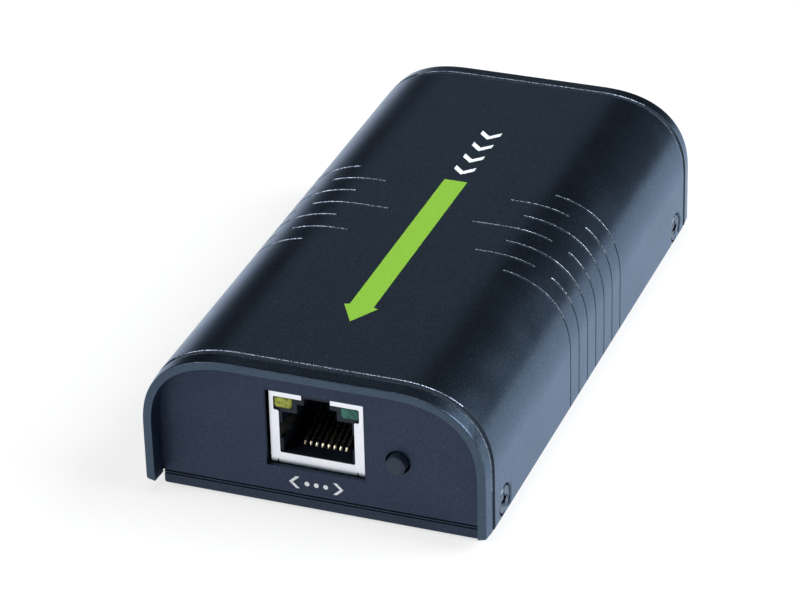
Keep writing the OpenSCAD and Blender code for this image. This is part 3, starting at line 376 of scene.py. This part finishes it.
def print_ink(name, dark, light):
    """Screen-printed ink: nearly even, with a faint mottle."""
    made = Shader(name)
    made.colour(made.ramp(made.noise(0.5, 3), dark, light))
    made.roughness(made.noise(0.3, 2), 0.4, 0.5)
    made.bump(made.noise(0.12, 2), 0.001, 0.4)
    return made.material


def make_materials():
    """One material for each of the record's slots, and three more for faces of the cover."""
    return {
        "cover_paint": flecked_paint(
            "cover_paint", (0.026, 0.044, 0.070, 1), (0.047, 0.079, 0.123, 1), (0.27, 0.33),
            fleck=(0.16, 0.2, 0.27, 1), edge=(0.64, 0.78, 1, 1), grain_depth=0.009, coat=0.35),
        # The cover's paint again, in other tones for its end and inner faces: a painted tone for
        # how light falls there
        "cover_rim": flecked_paint(
            "cover_rim", (0.048, 0.070, 0.100, 1), (0.068, 0.096, 0.134, 1), (0.38, 0.44),
            fleck=(0.08, 0.11, 0.15, 1), edge=(0.78, 0.9, 1, 1), grain_depth=0.003),
        # Painted highlight: paler, shinier paint for the lips of lines and grooves that catch the
        # light
        "cover_lip_highlight": flecked_paint(
            "cover_lip_highlight", (0.07, 0.10, 0.15, 1), (0.46, 0.53, 0.64, 1), (0.26, 0.34),
            fleck=(0.56, 0.63, 0.72, 1), edge=(0.8, 0.9, 1, 1), grain_mm=0.3, grain_depth=0.002,
            change=(0.45, 0.6)),
        # Painted shade: darker paint inside the grooves and lines, where little light reaches
        "cover_groove_shade": flecked_paint(
            "cover_groove_shade", (0.010, 0.016, 0.026, 1), (0.016, 0.026, 0.040, 1), (0.5, 0.6),
            fleck=(0.02, 0.03, 0.045, 1), edge=(0.78, 0.9, 1, 1), metal=0.6, grain_depth=0.004),
        "panel_paint": flecked_paint(
            "panel_paint", (0.024, 0.033, 0.060, 1), (0.034, 0.046, 0.080, 1), (0.42, 0.5),
            fleck=(0.06, 0.08, 0.12, 1), edge=(0.8, 0.9, 1, 1), metal=0.8),
        "base_paint": flecked_paint(
            "base_paint", (0.024, 0.033, 0.056, 1), (0.034, 0.046, 0.076, 1), (0.4, 0.5),
            fleck=(0.06, 0.08, 0.12, 1), edge=(0.8, 0.9, 1, 1), metal=0.8),
        # The third colour is painted shade for the screws' crosses
        "screw_steel": screw_metal(
            "screw_steel", linear(66, 76, 90), linear(134, 146, 162), linear(14, 18, 24),
            (0.14, 0.26)),
        "foot_rubber": plain_plastic(
            "foot_rubber", linear(24, 24, 26), linear(34, 34, 36), (0.7, 0.85),
            grain_mm=0.3, grain_depth=0.02),
        "board_laminate": plain_plastic(
            "board_laminate", linear(20, 82, 52), linear(30, 104, 66), (0.25, 0.4),
            grain_mm=0.6, grain_depth=0.004),
        "standoff_brass": plated_metal(
            "standoff_brass", linear(176, 150, 92), linear(208, 182, 118), (0.25, 0.4)),
        "shield_steel": plated_metal(
            "shield_steel", linear(228, 232, 239), linear(237, 240, 246), (0.28, 0.38),
            streak_mm=0.4, depth=0.0004),
        "socket_plastic": plain_plastic(
            "socket_plastic", linear(24, 31, 43), linear(31, 39, 53), (0.36, 0.46),
            grain_mm=0.25, grain_depth=0.004, shine=0.2),
        "contact_gold": plated_metal(
            "contact_gold", linear(248, 234, 200), linear(254, 246, 222), (0.24, 0.36)),
        "led_yellow": clear_lens("led_yellow", linear(126, 132, 34), linear(214, 216, 84)),
        "led_green": clear_lens("led_green", linear(8, 62, 58), linear(50, 142, 122)),
        "button_plastic": plain_plastic(
            "button_plastic", linear(34, 45, 60), linear(44, 57, 74), (0.42, 0.54),
            grain_mm=0.18, grain_depth=0.01, shine=0.25),
        "bright_metal": plated_metal(
            "bright_metal", linear(180, 184, 190), linear(212, 215, 220), (0.18, 0.3)),
        "black_plastic": plain_plastic(
            "black_plastic", linear(20, 21, 23), linear(30, 31, 34), (0.35, 0.5)),
        "led_red": clear_lens("led_red", linear(168, 44, 34), linear(206, 70, 54)),
        "chip_resin": plain_plastic(
            "chip_resin", linear(34, 35, 38), linear(46, 47, 51), (0.5, 0.65), grain_mm=0.15),
        "thermal_silicone": plain_plastic(
            "thermal_silicone", linear(130, 142, 162), linear(152, 164, 182), (0.6, 0.75)),
        "sink_aluminium": plated_metal(
            "sink_aluminium", linear(168, 172, 178), linear(200, 204, 210), (0.3, 0.45),
            stretch=(1, 0.1, 1)),
        "ferrite": plain_plastic("ferrite", linear(66, 67, 72), linear(84, 86, 92), (0.6, 0.75)),
        "can_aluminium": plated_metal(
            "can_aluminium", linear(190, 194, 200), linear(222, 225, 230), (0.2, 0.3),
            stretch=(1, 1, 0.1)),
        "ceramic": plain_plastic(
            "ceramic", linear(168, 146, 112), linear(194, 172, 138), (0.4, 0.55)),
    }


materials = make_materials()


# Objects and meshes


def add_object(name, data):
    item = bpy.data.objects.new(name, data)
    bpy.context.scene.collection.objects.link(item)
    return item


def finished(mesh, name):
    """The mesh of a bmesh, which is freed."""
    data = bpy.data.meshes.new(name)
    mesh.to_mesh(data)
    mesh.free()
    return data


def skin(name, mesh, node):
    """Adds a piece that stands for a node, in the node's slot, and rides on its body."""
    piece = add_object(name, mesh)
    mesh.materials.append(materials[slot_of[node]])
    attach(piece, nodes[node]["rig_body"])
    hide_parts(node)
    return piece


def even_normals(piece):
    """Flat faces keep flat shading next to the small curved ones at their edges."""
    modifier = piece.modifiers.new("even_normals", "WEIGHTED_NORMAL")
    modifier.weight = 60
    modifier.keep_sharp = True


# The cover's outline: points in the XZ plane, each with its outward normal


def shoulder_normal(t):
    power = 2 - 2 / SHOULDER_POWER
    across = math.cos(t) ** power / SHOULDER_W
    up = math.sin(t) ** power / SHOULDER_H
    return Vector((across, up)).normalized()


def shoulder_point(t):
    power = 2 / SHOULDER_POWER
    return Vector((FLAT_X + SHOULDER_W * math.cos(t) ** power,
                   FLAT_Z + SHOULDER_H * math.sin(t) ** power))


def right_half():
    """The outer outline from the right foot almost to the middle of the top."""
    rows = []
    for i in range(FOOT_STEPS):
        turn = math.radians(-90 + 90 * i / FOOT_STEPS)
        out = Vector((math.cos(turn), math.sin(turn)))
        rows.append((Vector((CASE_W / 2 - FOOT_EDGE_R, FOOT_EDGE_R)) + FOOT_EDGE_R * out, out))
    for i in range(SIDE_STEPS):
        z = FOOT_EDGE_R + (FLAT_Z - FOOT_EDGE_R) * i / SIDE_STEPS
        rows.append((Vector((CASE_W / 2, z)), Vector((1, 0))))
    fine = np.radians(np.linspace(0, 90, 4000))
    line = np.array([shoulder_point(t) for t in fine])
    along = lengths_along(line)
    for s in np.linspace(0, along[-1], SHOULDER_STEPS, endpoint=False):
        t = float(np.interp(s, along, fine))
        rows.append((shoulder_point(t), shoulder_normal(t)))
    for i in range(FLAT_STEPS):
        rows.append((Vector((FLAT_X * (1 - i / FLAT_STEPS), COVER_H)), Vector((0, 1))))
    return rows


def lengths_along(points):
    """The length of a line of points up to each of them."""
    return np.concatenate([[0], np.cumsum(np.hypot(*np.diff(points, axis=0).T))])


def outer_outline():
    """The whole outer outline, from the right foot over the top to the left foot."""
    right = right_half()
    left = [(Vector((-p.x, p.y)), Vector((-n.x, n.y))) for p, n in reversed(right)]
    return right + [(Vector((0, COVER_H)), Vector((0, 1)))] + left


def inner_outline(outline):
    """The inner face's outline, point by point; at the feet it runs straight down."""
    inner = []
    for i, (p, n) in enumerate(outline):
        from_foot = min(i, len(outline) - 1 - i)
        if from_foot < FOOT_STEPS:
            side = math.copysign(1, p.x)
            z = FOOT_EDGE_R * from_foot / FOOT_STEPS
            inner.append((Vector((side * (CASE_W / 2 - WALL), z)), Vector((side, 0))))
        else:
            inner.append((p - n * WALL, n))
    return inner


def soft_step(distance):
    """1 inside the end of a line, 0 outside, with a rounded change between."""
    t = np.clip(0.5 - distance / LINE_END_SOFT, 0, 1)
    return t * t * (3 - 2 * t)


def line_masks(outline):
    """The share of its full depth that each speed line has at each point of the outline."""
    points = np.array([p for p, n in outline])
    along = lengths_along(points)
    from_foot = np.minimum(along, along[-1] - along)
    shoulder = slice(int(np.argmax(points[:, 1] >= FLAT_Z)), len(outline) // 2 + 1)
    reaches = (CASE_W / 2 - np.abs(points[:, 0]))[shoulder]

    def at_reach(reach):
        return np.interp(reach, reaches, from_foot[shoulder])

    masks = []
    for i, reach in enumerate(LINE_REACHES):
        mask = soft_step(from_foot - at_reach(reach))
        if i % 2:
            low = soft_step(from_foot - at_reach(BREAK_FROM))
            past_ends = np.maximum(at_reach(BREAK_TO) - from_foot, from_foot - at_reach(reach))
            mask = np.maximum(low, soft_step(past_ends))
        masks.append(mask)
    return masks


# The cover's rings: the outline at places along the case


def edge_places(end, radius, steps):
    """Places on a rounded edge at one end of the case."""
    for i in range(steps + 1):
        turn = math.radians(90 * i / steps)
        yield round(end * (CASE_L / 2 - radius * (1 - math.sin(turn))), 4)


def groove_places(middle, width, lip):
    """Places across a groove and its lips."""
    half = width / 2
    inside = (0, 0.3 * half, 0.55 * half)
    for d in (*inside, half - lip, half - lip / 2, half, half + lip):
        yield from (round(middle - d, 4), round(middle + d, 4))


def outer_places():
    """Places along the cover where the outer face has a ring, from end to end."""
    places = set()
    for middle in LINE_YS:
        places.update(groove_places(middle, LINE_W, LIP))
    for end in (-1, 1):
        places.update(groove_places(end * END_GROOVE_Y, END_GROOVE_W, END_LIP))
        places.update(edge_places(end, OUTER_EDGE_R, OUTER_EDGE_STEPS))
        places.update(round(end * (CASE_L / 2 - d), 4) for d in END_RINGS)
    between = range(-RING_REACH, RING_REACH + 1, RING_STEP)
    places.update([y for y in between if min(abs(y - p) for p in places) > RING_CLEAR])
    return sorted(places)


def inner_places():
    """The same for the inner face, which has a slot for each panel."""
    places = set(np.linspace(-INNER_RING_REACH, INNER_RING_REACH, INNER_RINGS))
    for end in (-1, 1):
        places.update(edge_places(end, INNER_EDGE_R, INNER_EDGE_STEPS))
        for side in (-1, 1):
            wall = end * PANEL_Y + side * SLOT_W / 2
            places.update((round(wall - 0.01, 4), round(wall + 0.01, 4)))
    return sorted(places)


def rounding(y, radius):
    """How far a corner of a radius, at the end of the case, stands back at one place."""
    d = CASE_L / 2 - abs(y)
    return radius - math.sqrt(max(0.0, radius**2 - (radius - d) ** 2)) if d < radius else 0.0


def groove_depth(off, width):
    """The share of its depth that a rounded groove has at a distance from its middle."""
    return max(0.0, 1 - (off / (width / 2)) ** 2)


def outer_drops(y, masks):
    """How far each point of the outline is drawn in at one place along the cover."""
    past = abs(y) - END_GROOVE_Y
    fall = END_FALL * min(max(past / (CASE_L / 2 - END_GROOVE_Y), 0), 1)
    drops = np.full(len(masks[0]), SKIN_IN + rounding(y, OUTER_EDGE_R) + fall)
    for middle, mask in zip(LINE_YS, masks):
        drops += LINE_DEPTH * mask * groove_depth(y - middle, LINE_W)
    return drops + END_GROOVE_DEPTH * groove_depth(past, END_GROOVE_W)


def outer_coats(y, masks, height, highlight_from):
    """The material of each point of the outline at one place along the cover."""
    coats = np.full(len(height), PAINT)
    past = abs(y) - END_GROOVE_Y
    off = abs(past) - END_GROOVE_W / 2
    if off < END_LIP:
        # Near an end groove, lips high enough get the painted highlight, the rest the painted shade
        highlit = height > END_HIGHLIGHT_FROM[math.copysign(1, y), past > 0]
        coats[:] = np.where(highlit & (off > -END_LIP / 2), LIP_HIGHLIGHT, GROOVE_SHADE)
    for middle, mask in zip(LINE_YS, masks):
        off = abs(y - middle) - LINE_W / 2
        # A line's lips get the painted highlight where high enough, and its inside the painted
        # shade
        if off < LIP:
            here = np.where(height > highlight_from, LIP_HIGHLIGHT, PAINT) if off > -LIP else GROOVE_SHADE
            coats = np.where(mask > 0.5, here, coats)
    return coats


def ring(mesh, outline, y, drops):
    """Adds a ring of points at one place, drawn in along the outline's normals."""
    foot = rounding(y, LEG_CORNER_R)
    verts = []
    for (p, n), drop in zip(outline, drops):
        q = p - n * drop
        height = foot + q.y * (1 - foot / FOOT_BLEND) if q.y < FOOT_BLEND else q.y
        verts.append(mesh.verts.new(Vector((q.x, y, LEG_Z + height)) * MM))
    return verts


def grid_faces(mesh, rings, flip, coats):
    """Faces between rings of points; coats holds the material of each, row by row."""
    for a, b, row in zip(rings, rings[1:], coats):
        for i in range(len(a) - 1):
            quad = (a[i], a[i + 1], b[i + 1], b[i])
            face = mesh.faces.new(reversed(quad) if flip else quad)
            face.material_index = int(row[i])


def fill_between(mesh, a, b):
    """Triangles between two rows of points that both run along the cover."""
    i = j = 0
    while i < len(a) - 1 or j < len(b) - 1:
        if j == len(b) - 1 or (i < len(a) - 1 and a[i + 1].co.y <= b[j + 1].co.y):
            mesh.faces.new((a[i], a[i + 1], b[j]))
            i += 1
        else:
            mesh.faces.new((a[i], b[j + 1], b[j]))
            j += 1


def cover_mesh():
    """The outer and the inner face, joined at the ends of the case and along the feet."""
    outline = outer_outline()
    inside = inner_outline(outline)
    masks = line_masks(outline)
    height = np.array([p.y for p, n in outline])
    # Heights from which the lips of lines get the painted highlight, on the right and on the left
    highlight_from = np.array([HIGHLIGHT_FROM if p.x > 0 else HIGHLIGHT_FROM_LEFT for p, n in outline])
    mesh = bmesh.new()

    places = outer_places()
    outer = [ring(mesh, outline, y, outer_drops(y, masks)) for y in places]
    middles = [(a + b) / 2 for a, b in zip(places, places[1:])]
    coats = [outer_coats(y, masks, height, highlight_from) for y in middles]
    inner = []
    for y in inner_places():
        in_slot = abs(abs(y) - PANEL_Y) < SLOT_W / 2
        drop = -SLOT_DEPTH if in_slot else -rounding(y, INNER_EDGE_R)
        inner.append(ring(mesh, inside, y, [drop] * len(inside)))
    rim = np.full((len(inner), len(inside)), RIM)

    grid_faces(mesh, outer, False, coats)
    grid_faces(mesh, inner, True, rim)
    for end, flip in ((0, True), (-1, False)):
        grid_faces(mesh, [outer[end], inner[end]], flip, rim)
    for foot in (0, -1):
        fill_between(mesh, [r[foot] for r in outer], [r[foot] for r in inner])
    bmesh.ops.recalc_face_normals(mesh, faces=mesh.faces)
    return finished(mesh, "cover")


def lathe(profile, steps=48):
    """A closed mesh made by turning (radius, height) points about Z."""
    mesh = bmesh.new()
    # Part of a step, so that no edge of the cutter lies along the cover's own
    phase = 0.37
    turns = [2 * math.pi * (i + phase) / steps for i in range(steps)]
    rings = []
    for r, h in profile:
        rings.append([mesh.verts.new((r * math.cos(a) * MM, r * math.sin(a) * MM, h * MM))
                      for a in turns])
    for a, b in zip(rings, rings[1:]):
        for i in range(steps):
            j = (i + 1) % steps
            mesh.faces.new((a[i], a[j], b[j], b[i]))
    mesh.faces.new(reversed(rings[0]))
    mesh.faces.new(rings[-1])
    bmesh.ops.recalc_face_normals(mesh, faces=mesh.faces)
    return finished(mesh, "lathe")


def cut(piece, data, places):
    """Cuts a mesh out of a piece at each of some places."""
    mesh = bmesh.new()
    for place in places:
        start = len(mesh.verts)
        mesh.from_mesh(data)
        mesh.verts.ensure_lookup_table()
        bmesh.ops.transform(mesh, matrix=place, verts=mesh.verts[start:])
    tool = add_object("cutter", finished(mesh, "cutter"))
    modifier = piece.modifiers.new("cut", "BOOLEAN")
    modifier.operation = "DIFFERENCE"
    modifier.solver = "EXACT"
    modifier.object = tool
    bpy.context.view_layer.update()
    evaluated = piece.evaluated_get(bpy.context.evaluated_depsgraph_get())
    result = bpy.data.meshes.new_from_object(evaluated)
    piece.modifiers.clear()
    piece.data = result
    bpy.data.objects.remove(tool)


def screw_place(side, end):
    """Where a side screw's axis leaves the cover's face, pointing out of the case."""
    turn = Matrix.Rotation(math.radians(90 * side), 4, "Y")
    return Matrix.Translation(Vector((side * CASE_W / 2, end * SCREW_Y, SCREW_Z)) * MM) @ turn


def make_cover():
    cover = skin("cover_skin", cover_mesh(), "top_cover")
    for coat in COATS[1:]:
        cover.data.materials.append(materials[coat])
    # The screw's hole, then the recess with its rounded lips; both reach past the wall's faces
    past = 1
    recess = lathe([
        (SCREW_HOLE_D / 2, -WALL - past), (SCREW_HOLE_D / 2, -RECESS_DEPTH),
        (RECESS_D / 2 - RECESS_LIP, -RECESS_DEPTH), (RECESS_D / 2, RECESS_LIP - RECESS_DEPTH),
        (RECESS_D / 2, -RECESS_LIP), (RECESS_D / 2 + RECESS_LIP, 0),
        (RECESS_D / 2 + RECESS_LIP, past),
    ])
    cut(cover, recess, [screw_place(side, end) for side in (-1, 1) for end in (-1, 1)])
    for polygon in cover.data.polygons:
        polygon.use_smooth = True
    even_normals(cover)


# The other pieces


def clean_copy(node):
    """A node's mesh with its seams joined, flat faces made whole and smooth shading throughout."""
    mesh = bmesh.new()
    mesh.from_mesh(nodes[node].data)
    bmesh.ops.remove_doubles(mesh, verts=mesh.verts, dist=0.001 * MM)
    bmesh.ops.dissolve_limit(
        mesh, angle_limit=math.radians(0.3), verts=mesh.verts, edges=mesh.edges)
    for part in (*mesh.faces, *mesh.edges):
        part.smooth = True
    return finished(mesh, node)


def make_dressed(node, edge_mm):
    """A node's shape with softened edges."""
    piece = skin(node + "_skin", clean_copy(node), node)
    modifier = piece.modifiers.new("edges", "BEVEL")
    modifier.width = edge_mm * MM
    modifier.segments = EDGE_SEGMENTS
    modifier.limit_method = "ANGLE"
    modifier.angle_limit = EDGE_ANGLE
    even_normals(piece)


def make_mark(name, outlines, ink, place):
    """Thin print on a face: closed outlines in millimetres, set in a plane by a matrix."""
    mesh = bmesh.new()
    for outline in outlines:
        low = [mesh.verts.new((x * MM, y * MM, -INK_SUNK * MM)) for x, y in outline]
        high = [mesh.verts.new((x * MM, y * MM, (INK_T - INK_SUNK) * MM)) for x, y in outline]
        mesh.faces.new(high)
        mesh.faces.new(reversed(low))
        for i in range(len(outline)):
            j = (i + 1) % len(outline)
            mesh.faces.new((low[i], low[j], high[j], high[i]))
    bmesh.ops.recalc_face_normals(mesh, faces=mesh.faces)
    mesh.transform(place)
    piece = add_object(name, finished(mesh, name))
    piece.data.materials.append(ink)
    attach(piece, "case")


def chevron(half_w, reach, weight):
    """A V whose point is at -Y, with its middle at the origin."""
    return [(-half_w, reach / 2), (-half_w, reach / 2 - weight), (0, -reach / 2 - weight / 2),
            (half_w, reach / 2 - weight), (half_w, reach / 2), (0, weight / 2 - reach / 2)]


def disc(x, y, r, steps=16):
    turns = [2 * math.pi * i / steps for i in range(steps)]
    return [(x + r * math.cos(a), y + r * math.sin(a)) for a in turns]


def make_marks():
    """An arrow and chevrons on the top, and a network sign under the socket."""
    green = print_ink("green_ink", linear(123, 173, 51), linear(130, 180, 57))
    white = print_ink("white_ink", linear(222, 226, 232), linear(240, 243, 246))

    top = Matrix.Translation((0, 0, (TOP_Z - SKIN_IN) * MM))
    arrow = [
        (-ARROW_HALF_W, ARROW_TAIL_Y), (-ARROW_HALF_W, ARROW_NECK_Y),
        (-ARROW_HEAD_HALF_W, ARROW_WING_Y), (0, ARROW_TIP_Y),
        (ARROW_HEAD_HALF_W, ARROW_WING_Y), (ARROW_HALF_W, ARROW_NECK_Y),
        (ARROW_HALF_W, ARROW_TAIL_Y),
    ]
    make_mark("direction_arrow", [arrow], green, top)
    chevrons = [
        [(x, y + CHEVRON_FROM_Y + i * CHEVRON_PITCH)
         for x, y in chevron(half_w=1.8, reach=2.4, weight=1.3)]
        for i in range(CHEVRON_COUNT)
    ]
    make_mark("direction_chevrons", chevrons, white, top)

    jack_low, jack_high = (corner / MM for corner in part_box("lan_shield"))
    panel_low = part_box("front_panel")[0] / MM
    middle = Vector(((jack_low.x + jack_high.x) / 2, panel_low.y, SIGN_Z))
    face = Matrix.Translation(middle * MM) @ Matrix.Rotation(math.radians(90), 4, "X")
    right = [(-y, x) for x, y in chevron(half_w=1.1, reach=1.5, weight=0.65)]
    sign = [[(-x - SIGN_CHEVRON_X, y) for x, y in reversed(right)],
            [(x + SIGN_CHEVRON_X, y) for x, y in right]]
    sign += [disc(x, 0, SIGN_DOT_R) for x in SIGN_DOT_X]
    make_mark("network_sign", sign, white, face)


# Stage, camera and lights


def make_floor():
    """A pale floor. What the camera and reflections see of it is whitened, and keeps its shadow."""
    reach, low, whitened = 30, -0.03 * MM, 0.7
    data = bpy.data.meshes.new("floor")
    corners = [(x * reach, y * reach, low) for x, y in ((-1, -1), (1, -1), (1, 1), (-1, 1))]
    data.from_pydata(corners, [], [(0, 1, 2, 3)])
    made = Shader("floor")
    made.colour(made.ramp(made.noise(400, 2), (0.93, 0.93, 0.935, 1), (0.945, 0.945, 0.95, 1)))
    made.set(Roughness=0.9, Specular_IOR_Level=0.0)
    rays = made.add("ShaderNodeLightPath").outputs
    seen = made.math("ADD", rays["Is Camera Ray"], rays["Is Glossy Ray"], use_clamp=True)
    seen = made.math("ADD", seen, rays["Is Transmission Ray"], use_clamp=True)
    white = made.add("ShaderNodeEmission")
    white.inputs["Strength"].default_value = 1.0
    mix = made.add("ShaderNodeMixShader")
    made.feed(made.math("MULTIPLY", seen, whitened), mix.inputs["Fac"])
    made.feed(made.surface.outputs["BSDF"], mix.inputs[1])
    made.feed(white.outputs["Emission"], mix.inputs[2])
    made.feed(mix.outputs["Shader"], made.tree.nodes["Material Output"].inputs["Surface"])
    data.materials.append(made.material)
    floor = add_object("floor", data)


def make_camera():
    """The photograph's viewpoint, fitted to the straight edges of the case."""
    right = (0.9376, 0.3471, -0.0232)
    up = (-0.1526, 0.4703, 0.8692)
    back = (0.3126, -0.8114, 0.4939)
    data = bpy.data.cameras.new("camera")
    data.lens = 160.17
    data.sensor_width = 36
    data.clip_start = 0.01
    data.clip_end = 100
    camera = add_object("camera", data)
    turn = Matrix((right, up, back)).transposed().to_4x4()
    camera.matrix_world = Matrix.Translation(Vector((184.42, -493.85, 310.69)) * MM) @ turn
    bpy.context.scene.camera = camera


def add_softbox(name, at, size, power, colour=(1, 1, 1)):
    """A square lamp that looks at the object."""
    data = bpy.data.lights.new(name, "AREA")
    data.shape = "SQUARE"
    data.size = size
    data.energy = power
    data.color = colour
    lamp = add_object(name, data)
    lamp.location = at
    lamp.rotation_mode = "QUATERNION"
    lamp.rotation_quaternion = (-Vector(at)).to_track_quat("-Z", "Y")


def make_world():
    """A dim room: pale at the horizon, dark above it, and a little lighter overhead."""
    world = bpy.data.worlds.new("room")
    bpy.context.scene.world = world
    world.use_nodes = True
    tree = world.node_tree
    background = tree.nodes["Background"]
    background.inputs["Strength"].default_value = 1.0
    coordinates = tree.nodes.new("ShaderNodeTexCoord")
    split = tree.nodes.new("ShaderNodeSeparateXYZ")
    ramp = tree.nodes.new("ShaderNodeValToRGB")
    tree.links.new(coordinates.outputs["Generated"], split.inputs["Vector"])
    tree.links.new(split.outputs["Z"], ramp.inputs["Fac"])
    tree.links.new(ramp.outputs["Color"], background.inputs["Color"])
    bluish = (0.97, 0.985, 1)
    levels = [(0.0, 0.9), (0.015, 0.7), (0.04, 0.04), (0.5, 0.04), (1.0, 0.15)]
    elements = ramp.color_ramp.elements
    while len(elements) < len(levels):
        elements.new(0.5)
    for element, (height, level) in zip(elements, levels):
        element.position = height
        element.color = (*(level * share for share in bluish), 1)


make_cover()
for name, edge_mm in EDGES.items():
    make_dressed(name, edge_mm)
for name, node in nodes.items():
    node.data.materials.clear()
    node.data.materials.append(materials[slot_of[name]])
make_marks()
make_floor()
make_camera()
make_world()
add_softbox("left_softbox", at=(-1.1, -0.9, 1.0), size=1.1, power=12)
add_softbox("right_softbox", at=(1.1, 0.3, 0.9), size=1.1, power=33, colour=(0.94, 0.97, 1))
add_softbox("ceiling_softbox", at=(0.0, -0.35, 1.7), size=0.6, power=9)
add_softbox("back_card", at=(-0.5, 1.3, 0.78), size=0.5, power=0.21)
bpy.context.scene.view_settings.view_transform = "Standard"
